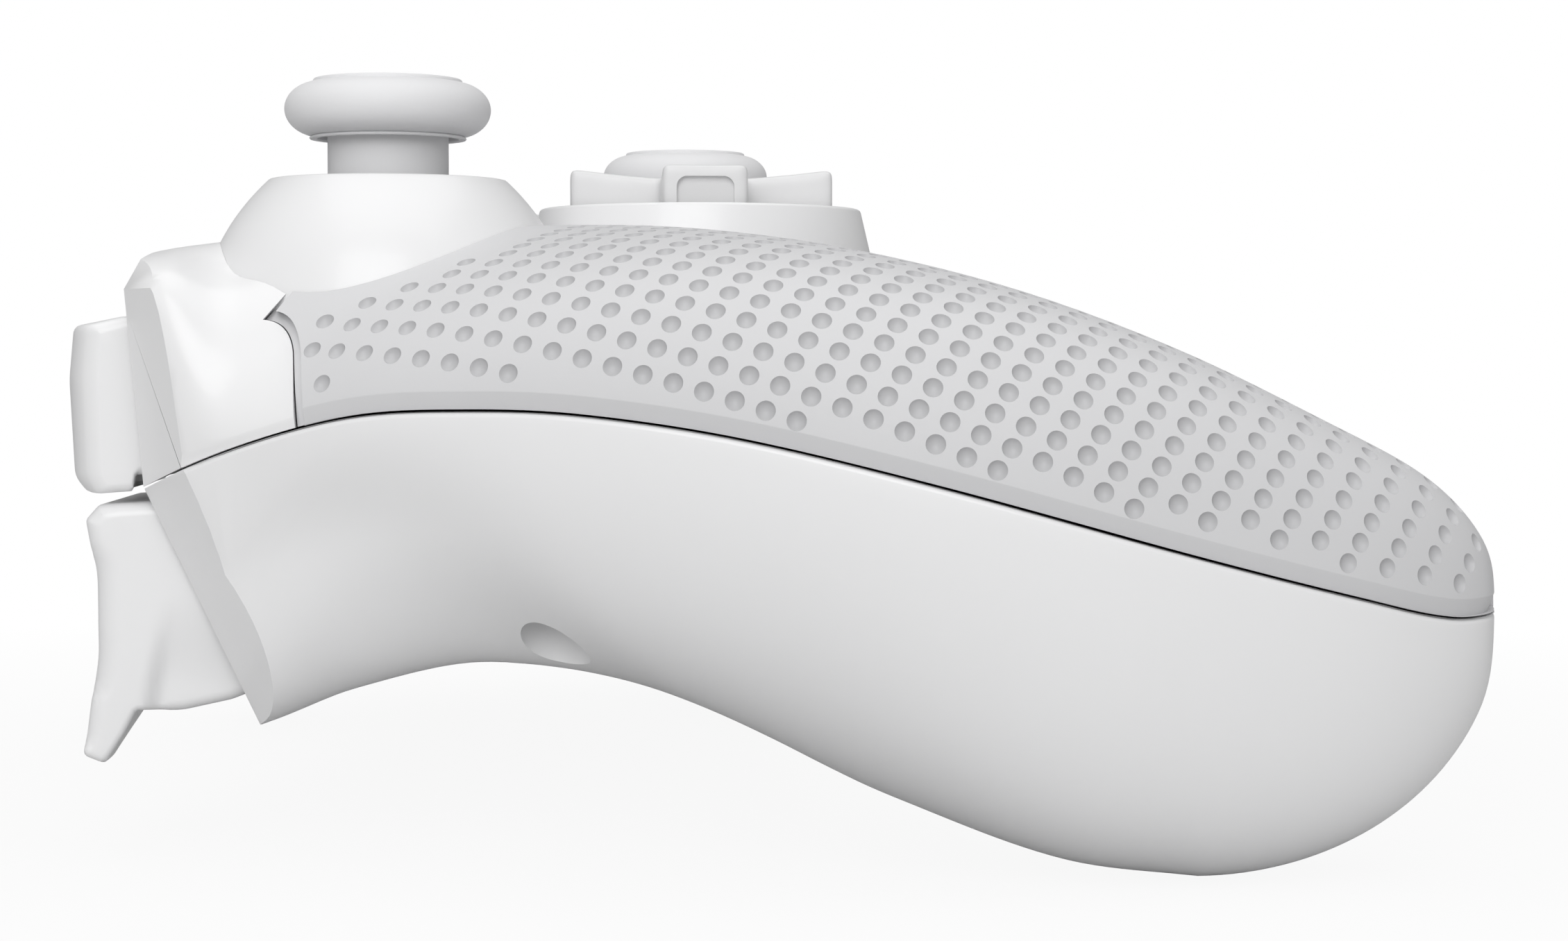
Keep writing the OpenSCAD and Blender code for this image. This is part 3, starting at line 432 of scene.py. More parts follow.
def pin(centre, r, axis, lo, hi, steps=64):
    return prism(arc(centre, r, 0, 360, steps)[:-1], axis, lo, hi)


def oblong(lo, hi):
    """Outline of a rectangle between two corners."""
    return [lo, (hi[0], lo[1]), hi, (lo[0], hi[1])]


def shifted(points, at):
    return [(at[0] + u, at[1] + v) for u, v in points]


def slots(outline, lo, hi):
    """A YZ outline from lo to hi along x, once on each side of the middle plane."""
    return [prism(outline, "x", *sorted((s * lo, s * hi))) for s in (-1, 1)]


def flipped(obj):
    """Mirror image of a piece across the middle plane."""
    twin = link("twin", obj.data.copy())
    twin.data.transform(Matrix.Diagonal((-1, 1, 1, 1)))
    twin.data.flip_normals()
    return twin


def finish(obj, node, body="body", slot="gloss_white", material=None, sharp=30, shaded_pits=()):
    """Names the dressed piece of a node, brings it to metres, shades it and ties it to the frame. The listed
    dimple faces get the darker dimple material, which is painted shade.
    """
    obj.name = obj.data.name = node + "_dressed"
    obj.data.transform(Matrix.Scale(MM, 4))
    obj.data.materials.clear()
    obj.data.materials.append(material or SLOT_MATERIALS[slot])
    in_shaded_pit = np.zeros(len(obj.data.polygons), dtype=np.int32)
    if shaded_pits:
        # The faces in the dimples take the darker material: painted shade.
        obj.data.materials.append(PIT_SHADE)
        in_shaded_pit[shaded_pits] = 1
    obj.data.polygons.foreach_set("material_index", in_shaded_pit)
    obj.data.shade_smooth()
    obj.data.set_sharp_from_angle(angle=math.radians(sharp))
    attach(obj, body)
    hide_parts(node)


def finish_pair(right, kind):
    """Finishes a piece of the right side and its mirror image, each on its own body."""
    for obj, side in ((flipped(right), "left"), (right, "right")):
        finish(obj, side + kind, side + kind)


# Materials

def node_material(name):
    material = bpy.data.materials.new(name)
    material.use_nodes = True
    nodes = material.node_tree.nodes
    return material, nodes, material.node_tree.links, nodes["Principled BSDF"]


def set_inputs(node, values):
    for label, value in values.items():
        node.inputs[label].default_value = value


def noise(nodes, links, coords, scale, detail):
    texture = nodes.new("ShaderNodeTexNoise")
    set_inputs(texture, {"Scale": scale, "Detail": detail, "Roughness": 0.55})
    links.new(coords, texture.inputs["Vector"])
    return texture.outputs["Fac"]


def spread(nodes, links, source, low, high, lo=0.3, hi=0.7):
    """Maps the values from lo to hi, for a noise its middle, to the range from low to high."""
    ramp = nodes.new("ShaderNodeMapRange")
    set_inputs(ramp, {"From Min": lo, "From Max": hi, "To Min": low, "To Max": high})
    links.new(source, ramp.inputs["Value"])
    return ramp.outputs["Result"]


def moulded(name, colour, rough, grain=0.02, grain_scale=2600, tint=0.012, metal=0.0, coat=0.0):
    """Moulded surface: slight cloudiness of colour, uneven gloss and a fine grain."""
    material, nodes, links, shader = node_material(name)
    coords = nodes.new("ShaderNodeTexCoord").outputs["Object"]
    cloud = noise(nodes, links, coords, 55, 2)
    shade = nodes.new("ShaderNodeMix")
    shade.data_type = "RGBA"
    darker, lighter = [max(0, c - tint) for c in colour], [min(1, c + tint) for c in colour]
    set_inputs(shade, {"A": (*darker, 1), "B": (*lighter, 1)})
    links.new(cloud, shade.inputs["Factor"])
    links.new(shade.outputs["Result"], shader.inputs["Base Color"])
    fine = noise(nodes, links, coords, grain_scale, 4)
    links.new(spread(nodes, links, fine, rough - 0.05, rough + 0.05), shader.inputs["Roughness"])
    bump = nodes.new("ShaderNodeBump")
    set_inputs(bump, {"Strength": 0.35, "Distance": grain * MM})
    links.new(fine, bump.inputs["Height"])
    links.new(bump.outputs["Normal"], shader.inputs["Normal"])
    set_inputs(shader, {"Metallic": metal, "Coat Weight": coat})
    return material


SHELL = moulded("dimpled_shell_plastic", (0.68, 0.68, 0.69), 0.55)
# The dimples' faces get a darker colour than the shell: painted shade in the recesses.
PIT_SHADE = moulded("dimple_painted_shade", (0.56, 0.56, 0.57), 0.45)
GLOSS = moulded("satin_white_plastic", (0.88, 0.88, 0.885), 0.36, 0.008, 1500, coat=0.15)
PAD = moulded("pad_plastic", (0.78, 0.78, 0.785), 0.4, 0.01, 1500, coat=0.1)
STICK = moulded("stick_rubber", (0.80, 0.80, 0.81), 0.6, 0.03, 3400)
DARK = moulded("inner_plastic", (0.03, 0.03, 0.033), 0.6, 0.03, 2000, tint=0.006)
BOARD = moulded("board_lacquer", (0.02, 0.09, 0.045), 0.4, 0.03, 900, tint=0.01)
WRAP = moulded("cell_wrap", (0.05, 0.07, 0.12), 0.35, 0.02, 700, tint=0.01)
RUBBER = moulded("pad_rubber", (0.06, 0.06, 0.065), 0.7, 0.03, 2400, tint=0.01)
STEEL = moulded("pin_steel", (0.55, 0.55, 0.56), 0.32, 0.01, 1800, metal=1.0)
SLOT_MATERIALS = {"shell_white": SHELL, "gloss_white": GLOSS, "stick_white": STICK, "inner_plastic": DARK,
                  "board_green": BOARD, "cell_wrap": WRAP, "pad_rubber": RUBBER, "steel": STEEL}


# Shells

bezel_lean = 0.09
nose_lean = 0.476
corner_lean = 0.61
bevel_z = deck_z - 5.3
bevel_lean = 0.568
bevel_h = 15
nose_z = 28.9
nose_rise = 0.215
corner_x = shoulder_x + 1
far_x = half_w + 10
far_y = grip_back + 70
low_z, high_z = -20, 70

# Points of the shells' loft from the grip to the middle plane and across
loft_rows, loft_steps = 150, 64

# Lower edge of the top shell: a plain band set back at the seam. Rounded upper edge of the bottom shell.
band_h = 1.3
band_in = 0.5
BAND = [(band_h * u, band_in * (1 - u)) for u in (0, 0.33, 0.67, 0.96)] + [(band_h, 0), (band_h + 0.06, 0)]
BEZEL_BAND = [(band_h * u, 0.28 * (1 - u)) for u in (0, 0.33, 0.67, 1)]
lip_r = 0.45
ROUND = [(lip_r * (1 - math.cos(a)), lip_r * (1 - math.sin(a))) for a in np.radians(np.linspace(0, 90, 7))]

# Edges of the top shell and of the bezel beside the groove, seen from the side
SHELL_EDGE = [(34.4, low_z), (34.5, 33)] + bezier((35.1, 39.6), (35.55, 42.5), (37.34, 42.7), 10) \
    + [(36.15, 44.25), (35.9, 47), (35.9, high_z)]
BEZEL_EDGE = [(35.15, low_z), (35.25, 33)] + bezier((35.9, 39.6), (36.3, 41.9), (38.35, 42.06), 10) \
    + [(36.5, 44.3), (36.0, 47), (36.0, high_z)]
groove_depth = 1.35
groove_slit = 0.12


def front_point(x, level, inset):
    """Corner of the front at one x: foot or top of the nose, the bezel's upper edge or the bevel's top."""
    out = max(0, abs(x) - corner_x)
    turn_z = nose_z + nose_rise * out
    turn_y = front_y - bezel_lean * (bevel_z - turn_z)
    y, z = ((turn_y - nose_lean * (turn_z - low_z), low_z), (turn_y, turn_z), (front_y, bevel_z),
            (front_y - bevel_lean * bevel_h, bevel_z + bevel_h))[level]
    return x, y - inset - corner_lean * out, z


def front_limit(inset, edge_round=0.0):
    """Everything behind the front planes and their slanting corners, with those planes set back by inset."""
    across = (-far_x, -corner_x, corner_x, far_x)
    front = [front_point(x, level, inset) for level in range(4) for x in across]
    points = front + [(x, -grip_back - 10, z) for x, _, z in front]
    low = [4 * k + j for k in range(3) for j in range(3)]
    faces = [(i, i + 1, i + 5, i + 4) for i in low] + [(i + 16, i + 20, i + 21, i + 17) for i in low]
    faces += [(j + 1, j, j + 16, j + 17) for j in range(3)]
    faces += [(j, j + 1, j + 17, j + 16) for j in range(12, 15)]
    faces += [(i, i + 4, i + 20, i + 16) for i in (0, 4, 8)]
    faces += [(i + 4, i, i + 16, i + 20) for i in (3, 7, 11)]
    limit = solid(points, faces)
    if edge_round:
        bm = bmesh.new()
        bm.from_mesh(limit.data)
        front = [e for e in bm.edges
                 if min(v.co.y for v in e.verts) > 5 - grip_back and e.calc_face_angle(0) > 0.01]
        bmesh.ops.bevel(bm, geom=front, offset=edge_round, segments=4, profile=0.5, affect="EDGES")
        bm.to_mesh(limit.data)
        bm.free()
    return limit


def from_edge(edge, y):
    """Everything from an edge as seen from the side, as far as y."""
    return prism(edge + [(y, high_z), (y, low_z)], "x", -far_x - 2, far_x + 2)


def hollow(obj, top, bezel=False):
    """Takes the inside out of a shell, leaving its wall."""
    return cut(obj, keep(body_half(top, wall, 1.0, bezel=bezel), front_limit(wall)))


def collar_dome(top, steps):
    return bezier((collar_foot_r, collar_foot_z), (collar_foot_r - 1.1, 49.5), (collar_top_r, top), steps)


def deck_seats():
    """Cutters for the collar and the three plinths that stand in the deck."""
    seat_gap, low, top = 0.04, collar_foot_z - 5, plinth_z + 5
    dome = [(r + seat_gap, z) for r, z in collar_dome(collar_z, 24)]
    seats = [lathe([(0, low), (collar_foot_r + seat_gap, low)] + dome + [(0, collar_z)], left_at)]
    foot, rim = plinth_foot_r + seat_gap, plinth_r + seat_gap
    stick_low = right_pivot_z - stick_seat
    for at, low in ((pad_at, plinth_low_z - 1), (right_at, stick_low - 1), (face_at, plinth_low_z - 1)):
        seats.append(lathe([(0, low), (foot, low), (foot, plinth_foot_z), (rim, top), (0, top)], at))
    return seats


# Dimples of the top shell: a slanting lattice that follows the side of each grip
dimple_r = 0.74
dimple_deep = 0.5
dimple_run = 2.165
dimple_slant = 1.033
dimple_start_y = -3.42
dimple_end_y = 34.2
dimple_back_y = -54.5
dimple_rows, dimple_columns = range(-4, 30), range(-24, 28)
plain_deck_x, plain_deck_y = 38, -9
# Step from row to row on the surface, length from the seam to row 0, and plain strip above the seam
DIMPLE_STEP = np.array([(-56, 2.73), (-40, 2.27), (-15, 2.01), (10, 2.3), (22, 2.63), (36, 3.18)])
DIMPLE_BASE = np.array([(-54, -22.4), (-49, -16.1), (-43, -10.6), (-37, -6.8), (-31, -4), (-25, -2),
                        (-19, -0.5), (-13, 0.5), (-7, 1.4), (-1, 2.1), (5, 2.8), (11, 3.6), (17, 4.7),
                        (23, 6.1), (29, 7.5), (35, 9.7)])
DIMPLE_CLEAR = np.array([(-60, 2), (-40, 2), (-30, 1.95), (8, 1.95), (17, 2.3), (20, 2.45), (40, 2.45)])


def section(skin, y):
    """The line of a shell surface at one y, from the outer edge across."""
    rows = skin[..., 1]
    inside = (rows[0] <= y) & (rows[-1] >= y)
    points = []
    for j in np.nonzero(inside)[0]:
        points.append([np.interp(y, rows[:, j], skin[:, j, axis]) for axis in range(3)])
    return np.array(points)


def along(line, s):
    """The point at the length s along a line, or None past its end."""
    reach = lengths(line)
    if s > reach[-1]:
        return None
    return np.array([np.interp(s, reach, line[:, axis]) for axis in range(3)])


def dimple_places(skin):
    """Points and outward normals of the dimples on the right half."""
    places = []
    nudge = 0.05
    for j in dimple_rows:
        for i in dimple_columns:
            y = dimple_start_y - dimple_run * i - dimple_slant * j
            if not dimple_back_y < y < dimple_end_y + 0.4:
                continue
            y = min(y, dimple_end_y)
            s = curve(DIMPLE_STEP, y) * j + curve(DIMPLE_BASE, y)
            line = section(skin, y)
            clear = curve(DIMPLE_CLEAR, y)
            if s < clear or s > lengths(line)[-1] - clear:
                continue
            p = along(line, s)
            far_collar = math.dist(p[:2], face_at) > collar_foot_r + 1.3
            far_pad = math.dist(p[:2], right_at) > plinth_foot_r + 1.1
            on_deck = y > plain_deck_y and p[0] < plain_deck_x
            if not far_collar or not far_pad or on_deck:
                continue
            q, r = along(line, s + nudge), along(section(skin, y + nudge), s)
            if q is None or r is None:
                continue
            normal = np.cross(r - p, q - p)
            normal *= np.sign(normal[2]) / np.linalg.norm(normal)
            places.append((p, normal))
    return places


def dimple_cutter(places):
    """One mesh of lens-shaped cutters, with the centre of each ball above the surface."""
    ball = (dimple_r ** 2 + dimple_deep ** 2) / (2 * dimple_deep)
    lift = ball - dimple_deep
    reach = math.acos((lift - 0.25) / ball)
    rings, sides = 6, 22
    points, faces = [], []
    for p, normal in places:
        u = np.cross(normal, (0, 1, 0))
        u /= np.linalg.norm(u)
        v = np.cross(normal, u)
        centre = p + normal * lift
        start = len(points)
        points.append(centre - normal * ball)
        for k in range(1, rings + 1):
            angle = reach * k / rings
            for m in range(sides):
                turn = 2 * math.pi * m / sides
                out = u * math.cos(turn) + v * math.sin(turn)
                points.append(centre + ball * (out * math.sin(angle) - normal * math.cos(angle)))
        points.append(centre)
        last = len(points) - 1
        for m in range(sides):
            n = (m + 1) % sides
            faces.append((start, start + 1 + m, start + 1 + n))
            for k in range(rings - 1):
                a, b = start + 1 + k * sides, start + 1 + (k + 1) * sides
                faces.append((a + m, b + m, b + n, a + n))
            a = start + 1 + (rings - 1) * sides
            faces.append((a + m, last, a + n))
    return solid(points, faces, 1e-5)


def dimple_shade_faces(shell, places):
    """Numbers of the faces that lie in the dimples, which get the darker colour of painted shade."""
    tree = KDTree(len(places))
    for k, (p, _) in enumerate(places):
        tree.insert(p, k)
    tree.balance()
    found = []
    points = shell.data.vertices
    for face in shell.data.polygons:
        middle, k, away = tree.find(face.center)
        if away > dimple_r or np.dot(np.array(face.center) - places[k][0], places[k][1]) > -0.03:
            continue
        if max((points[v].co - middle).length for v in face.vertices) < dimple_r + 0.06:
            found.append(face.index)
    return found


def make_top_shell():
    shell = body_half(True, rows=loft_rows, steps=loft_steps, edge=BAND)
    keep(shell, front_limit(0), from_edge(SHELL_EDGE, -far_y))
    tongue = body_half(True, groove_depth, 0.0, 96, 48)
    tongue_edge = [(y - groove_slit, z) for y, z in BEZEL_EDGE]
    join(shell, keep(tongue, front_limit(groove_depth), from_edge(tongue_edge, -far_y)))
    hollow(shell, True)
    cut(shell, *deck_seats())
    low, high = deck_z - 9.8, deck_z + 10.2
    cut(shell, rod(home_at, home_r + fit, low, high))
    for s in (-1, 1):
        cut(shell, rod((s * menu_at[0], menu_at[1]), menu_r + fit, low, high))
    skin, _ = half_surface(True, 0, loft_rows, 96, None)
    right = dimple_places(skin)
    places = right + [(p * MIRROR, n * MIRROR) for p, n in right]
    cut(shell, dimple_cutter(places))
    finish(shell, "top_shell", slot="shell_white", shaded_pits=dimple_shade_faces(shell, places))


bumper_low, bumper_top = 29.9, 42.4
bumper_w, bumper_out = 25, 5.5
bumper_in = shoulder_x - bumper_w
usb_z, usb_half, usb_r = 33.3, 2.8, 2


def make_bezel():
    bezel = body_half(True, rows=loft_rows, steps=loft_steps, edge=BEZEL_BAND, bezel=True)
    keep(bezel, front_limit(0), from_edge(BEZEL_EDGE, far_y))
    hollow(bezel, True, True)
    cut(bezel, *deck_seats())
    opening = oblong((front_y - wall - 1.5, 20), (front_y + 20, bumper_top + 0.5))
    cut(bezel, *slots(opening, bumper_in - 0.6, shoulder_x + 1))
    mouth = arc((usb_half, usb_z), usb_r, -90, 90, 16) + arc((-usb_half, usb_z), usb_r, 90, 270, 16)
    cut(bezel, prism(mouth, "y", front_y - 5, front_y + 5))
    finish(bezel, "front_bezel")


screw_hole_r = 2.65
screw_r = 1.3
boss_r = 3.6
head_r, head_h = 2.5, 1.8
front_seat = 5.2
rear_seat = 9
front_screw = (57.5, 16)
rear_screw = (grip_end_x, -43)
trigger_w = 21
trig_in = shoulder_x - trigger_w
trig_y, trig_z = front_y - 10.2, 25
jack_z, jack_r = 23.5, 3.2
plate_z = 28


def screw_places():
    """Plan place, height of the boss's top and height of the head's seat, for each of the four screws."""
    rear_top = float(seam_at(np.array([rear_screw[1]]))[0])
    right = (front_screw, plate_z, plate_z - front_seat), (rear_screw, rear_top - 0.2, rear_top - rear_seat)
    return [((s * x, y), top, seat) for s in (-1, 1) for (x, y), top, seat in right]


def make_screws():
    """Round heads with a softened edge and a six-sided socket, below the skin all round the hole."""
    soft, socket_r, shaft_r = 0.3, 1.3, screw_r - fit
    screws = []
    for at, top, seat in screw_places():
        low = seat - head_h
        profile = [(0, low)] + arc((head_r - soft, low + soft), soft, -90, 0, 5)
        profile += [(head_r, seat), (shaft_r, seat), (shaft_r, top + 4), (0, top + 5)]
        screw = lathe(profile, at, 64)
        screws.append(cut(screw, prism(arc(at, socket_r, 0, 300, 5), "z", low - 1, low + 1)))
    finish(join(*screws), "screws", slot="steel")


def make_bottom_shell():
    shell = body_half(False, rows=loft_rows, steps=loft_steps, edge=ROUND)
    keep(shell, front_limit(0, 0.25))
    hollow(shell, False)
    for at, top, seat in screw_places():
        join(shell, keep(body_half(False, wall / 2), rod(at, boss_r, -1, top)))
        cut(shell, rod(at, screw_hole_r, -1, seat), rod(at, screw_r, -1, top + 1))
    opening = [(-8, 5), (-8, -10.4), (-3.5, -12.5), (-0.9, -13.75), (1, -14.6), (25, -18.4), (25, 5)]
    cut(shell, *slots(shifted(opening, (trig_y, trig_z)), trig_in - 0.5, shoulder_x + 0.5))
    cut(shell, pin((0, jack_z), jack_r + gap, "y", rear_edge_y - 7, rear_edge_y + 5))
    finish(shell, "bottom_shell")


# Turned pieces: sticks, collar, plinths and buttons

def stick_profile(zp, top):
    """Half section of a stick: dished cap with a round rim, neck, dust skirt and shaft."""
    rim_w, rim_h = 2.7, cap_h / 2 - 0.15
    rim = (cap_r - rim_w, top - cap_h / 2 - 0.12)
    disc_r = 6.1
    inner = skirt_r - 1
    shaft_r, skirt_edge = 1.6, 62
    neck_angle = math.degrees(math.asin((neck_r + 0.5) / skirt_r))
    shaft_angle = math.degrees(math.asin(shaft_r / inner))

    def ball(r, angles):
        return [(r * math.sin(math.radians(a)), zp + r * math.cos(math.radians(a))) for a in angles]

    cap = [(0, top - 0.55), (1.5, top - 0.52), (3, top - 0.42), (4.5, top - 0.24), (5.4, top - 0.08)]
    cap += arc((disc_r - 0.25, top - 0.2), 0.2, 110, 0, 5) + [(disc_r, top - 0.36)]
    around = np.radians(np.linspace(78, -80, 33))
    cap += [(rim[0] + rim_w * math.cos(a), rim[1] + rim_h * math.sin(a)) for a in around]
    under = top - cap_h
    lip = [(6.3, under - 0.02), (6.36, under - 0.12), (6.3, under - 0.2), (5.8, under - 0.2),
           (5.72, under - 0.1), (5.7, under + 1.0)]
    neck_low = zp + skirt_r * math.cos(math.radians(neck_angle))
    neck = [(neck_r, under + 1.0), (neck_r, neck_low + 0.7), (neck_r + 0.1, neck_low + 0.3)]
    skirt = ball(skirt_r, np.linspace(neck_angle, skirt_edge, 20))
    skirt += ball(inner, np.linspace(skirt_edge, shaft_angle, 20))
    return cap + lip + neck + skirt + [(shaft_r, zp - 1.6), (0, zp - 1.6)]


def make_sticks():
    for node, at, zp, top in (("left_stick", left_at, left_pivot_z, left_top_z),
                              ("right_stick", right_at, right_pivot_z, right_top_z)):
        finish(lathe(stick_profile(zp, top), at, 160), node, node, "stick_white", sharp=32)


def make_collar():
    low, floor_t, floor_r, side_t = left_pivot_z - stick_seat, 1.2, 7.2, 1.8
    outer = collar_dome(collar_z - 0.12, 40)
    inner = [(r - side_t, z - floor_t) for r, z in outer[::-1] if r - side_t > collar_hole_r]
    profile = [(floor_r, low), (collar_foot_r, low)] + outer
    profile += [(collar_top_r - 0.12, collar_z - 0.03), (collar_top_r - 0.25, collar_z)]
    profile += [(collar_hole_r + 0.15, collar_z), (collar_hole_r, collar_z - 0.15)]
    profile += [(collar_hole_r, inner[0][1])] + inner
    profile += [(collar_foot_r - side_t, low + floor_t), (floor_r, low + floor_t)]
    finish(lathe(profile, left_at, 192), "left_stick_collar", sharp=32)


def plinth_body(at, top, low, floor=None, mouth_r=0.0):
    """Round plinth with a softened top edge. It is open below its floor and hollow above it."""
    edge, skin, floor_t = 0.35, 1.6, 1.2
    inner = plinth_foot_r - 1.4
    slope = math.degrees(math.atan2(1, top - plinth_foot_z))
    side = [(plinth_foot_r, low), (plinth_foot_r, plinth_foot_z)]
    round_at = (plinth_r - edge + 0.05, top - edge)
    profile = [(inner, low)] + side + arc(round_at, edge, slope, 90, 6)
    if mouth_r:
        profile += [(mouth_r + 0.2, top), (mouth_r, top - 0.2), (mouth_r, top - skin), (inner, top - skin)]
        return lathe(profile, at, 192)
    profile += [(0, top), (0, floor - floor_t), (inner, floor - floor_t)]
    return cut(lathe(profile, at, 192), rod(at, inner, floor, top - skin, 192))


def cross_outline(grow):
    a, c = dpad_half + grow, dpad_arm + grow
    arm = [(a, -c), (a, c), (c, c)]
    outline = []
    for _ in range(4):
        outline += arm
        arm = [(-y, x) for x, y in arm]
    return outline


dpad_half = 11.5
dpad_arm = 3.65
dpad_top = plinth_z + 3.4
dpad_low = plinth_z - 2.2
dish = 0.9
button_r = 5.0
button_pitch = 7.9
button_top = plinth_z + 2.8
button_low = plinth_z - 3
cup_floor_z = plinth_z - 7
mouth_low, mouth_high = plinth_z - 2.6, plinth_z + 1


def make_plinths():
    pad = plinth_body(pad_at, plinth_z, plinth_low_z, cup_floor_z)
    cut(pad, prism(shifted(cross_outline(0.9), pad_at), "z", mouth_low, mouth_high))
    finish(pad, "dpad_plinth")
    faces = plinth_body(face_at, plinth_z, plinth_low_z, cup_floor_z)
    bore, flare = button_r + fit, button_r + 0.3
    mouth = [(0, mouth_low), (bore, mouth_low), (bore, plinth_z - 0.25), (flare, plinth_z + 0.01),
             (flare, mouth_high), (0, mouth_high)]
    for at in button_places():
        cut(faces, lathe(mouth, at))
    finish(faces, "face_button_plinth")
    stick = plinth_body(right_at, stick_plinth_z, right_pivot_z - stick_seat, None, collar_hole_r)
    finish(stick, "right_stick_plinth")


def button_places():
    ways = (1, 0), (0, 1), (-1, 0), (0, -1)
    return [(face_at[0] + button_pitch * x, face_at[1] + button_pitch * y) for x, y in ways]


def button(at, r, low, top, edge, dome, flange):
    """Round button with a softened edge, a slightly domed top and a flange below."""
    shoulder = top - dome - edge
    inwards = np.linspace(0.1, 1, 10)
    crown = [(r - edge - (r - edge) * u, top - dome + dome * (1 - (1 - u) ** 2)) for u in inwards]
    profile = [(0, low), (r + flange, low), (r + flange, low + 1), (r, low + 1), (r, shoulder)]
    profile += arc((r - edge, shoulder), edge, 15, 90, 6) + crown
    return lathe(profile, at, 96)


def make_buttons():
    for name, at in zip(("right", "front", "left", "rear"), button_places()):
        node = "face_button_" + name
        flange = min(0.35, button_pitch * math.sqrt(0.5) - 0.2 - button_r)
        piece = button(at, button_r, button_low, button_top, 0.7, 0.8, flange)
        finish(piece, node, node)
    low = deck_z - 4.2
    for node, at, r, top in (("home_button", home_at, home_r, deck_z + 0.5),
                             ("left_menu_button", (-menu_at[0], menu_at[1]), menu_r, deck_z + 0.9),
                             ("right_menu_button", menu_at, menu_r, deck_z + 0.9)):
        finish(button(at, r, low, top, 0.3, 0.2, 0.7), node, node)


# Direction pad: a cage of cells over the cross, rounded by subdivision

def make_dpad():
    soft = 1.1
    half = [0, dpad_arm - soft, dpad_arm, dpad_arm + soft, 7.6, dpad_half - soft, dpad_half]
    lines = [-v for v in half[:0:-1]] + half
    n = len(lines) - 1
    in_arm = [abs(a + b) / 2 < dpad_arm for a, b in zip(lines, lines[1:])]
    filled = [[in_arm[i] or in_arm[j] for j in range(n)] for i in range(n)]

    def level(x, y, k):
        top = dpad_top - dish * (1 - min(1, (x * x + y * y) / dpad_half ** 2))
        return (top, top - soft, dpad_low + soft, dpad_low)[k]

    index, points, faces = {}, [], []

    def vertex(i, j, k):
        if (i, j, k) not in index:
            index[i, j, k] = len(points)
            x, y = lines[i], lines[j]
            points.append((pad_at[0] + x, pad_at[1] + y, level(x, y, k)))
        return index[i, j, k]

    for i in range(n):
        for j in range(n):
            if not filled[i][j]:
                continue
            corners = [(i, j), (i + 1, j), (i + 1, j + 1), (i, j + 1)]
            faces.append([vertex(a, b, 0) for a, b in corners])
            faces.append([vertex(a, b, 3) for a, b in corners[::-1]])
            beside = [(i, j - 1), (i + 1, j), (i, j + 1), (i - 1, j)]
            for m, (a, b) in enumerate(beside):
                if 0 <= a < n and 0 <= b < n and filled[a][b]:
                    continue
                p, q = corners[m], corners[(m + 1) % 4]
                for k in range(3):
                    faces.append([vertex(*q, k), vertex(*p, k), vertex(*p, k + 1), vertex(*q, k + 1)])
    pad = solid(points, faces)
    pad.modifiers.new("round", "SUBSURF").levels = 3
    apply_modifiers(pad)
    recess_w, recess_deep, recess_top, recess_r = 2.45, 0.55, dpad_top - 1.05, 0.9
    arch = [(-recess_w, plinth_z - 1), (recess_w, plinth_z - 1)]
    arch += arc((recess_w - recess_r, recess_top - recess_r), recess_r, 0, 90, 8)
    arch += arc((recess_r - recess_w, recess_top - recess_r), recess_r, 90, 180, 8)
    for turn in range(4):
        tool = prism(arch, "x", dpad_half - recess_deep, dpad_half + 2)
        tool.data.transform(Matrix.Translation((*pad_at, 0)) @ Matrix.Rotation(turn * math.pi / 2, 4, "Z"))
        cut(pad, tool)
    join(pad, rod(pad_at, 2.6, plinth_z - 5.6, dpad_low + 1))
    finish(pad, "dpad", "dpad", material=PAD, sharp=40)


# Shoulder parts: bars with rounded outlines and rounded ends

def rounded(corners, steps=6):
    """Outline with each corner (x, y, radius) rounded off."""
    line = []
    n = len(corners)
    for i, (x, y, r) in enumerate(corners):
        here = np.array((x, y), float)
        back = np.array(corners[i - 1][:2]) - here
        on = np.array(corners[(i + 1) % n][:2]) - here
        lb, lo = np.linalg.norm(back), np.linalg.norm(on)
        turn = math.acos(np.clip(back @ on / (lb * lo), -1, 1))
        reach = min(r / max(math.tan(turn / 2), 1e-3), 0.48 * lb, 0.48 * lo)
        line += bezier(here + back / lb * reach, here, here + on / lo * reach, steps)
    return np.array(line)


def even(line, step):
    """The same closed outline with points at even steps along it."""
    ring = np.concatenate([line, line[:1]])
    reach = lengths(ring)
    places = np.linspace(0, reach[-1], int(reach[-1] / step) + 1)[:-1]
    return np.stack([np.interp(places, reach, ring[:, k]) for k in (0, 1)], axis=1)


def edge_distance(points, line):
    """Distance of each point to a closed outline, and the number of the nearest side."""
    a, d = line, np.roll(line, -1, axis=0) - line
    t = np.einsum("pik,ik->pi", points[:, None] - a[None], d) / (np.sum(d * d, axis=1) + 1e-12)
    near = a[None] + np.clip(t, 0, 1)[..., None] * d[None]
    away = np.linalg.norm(points[:, None] - near, axis=2)
    side = np.argmin(away, axis=1)
    return away[np.arange(len(points)), side], side


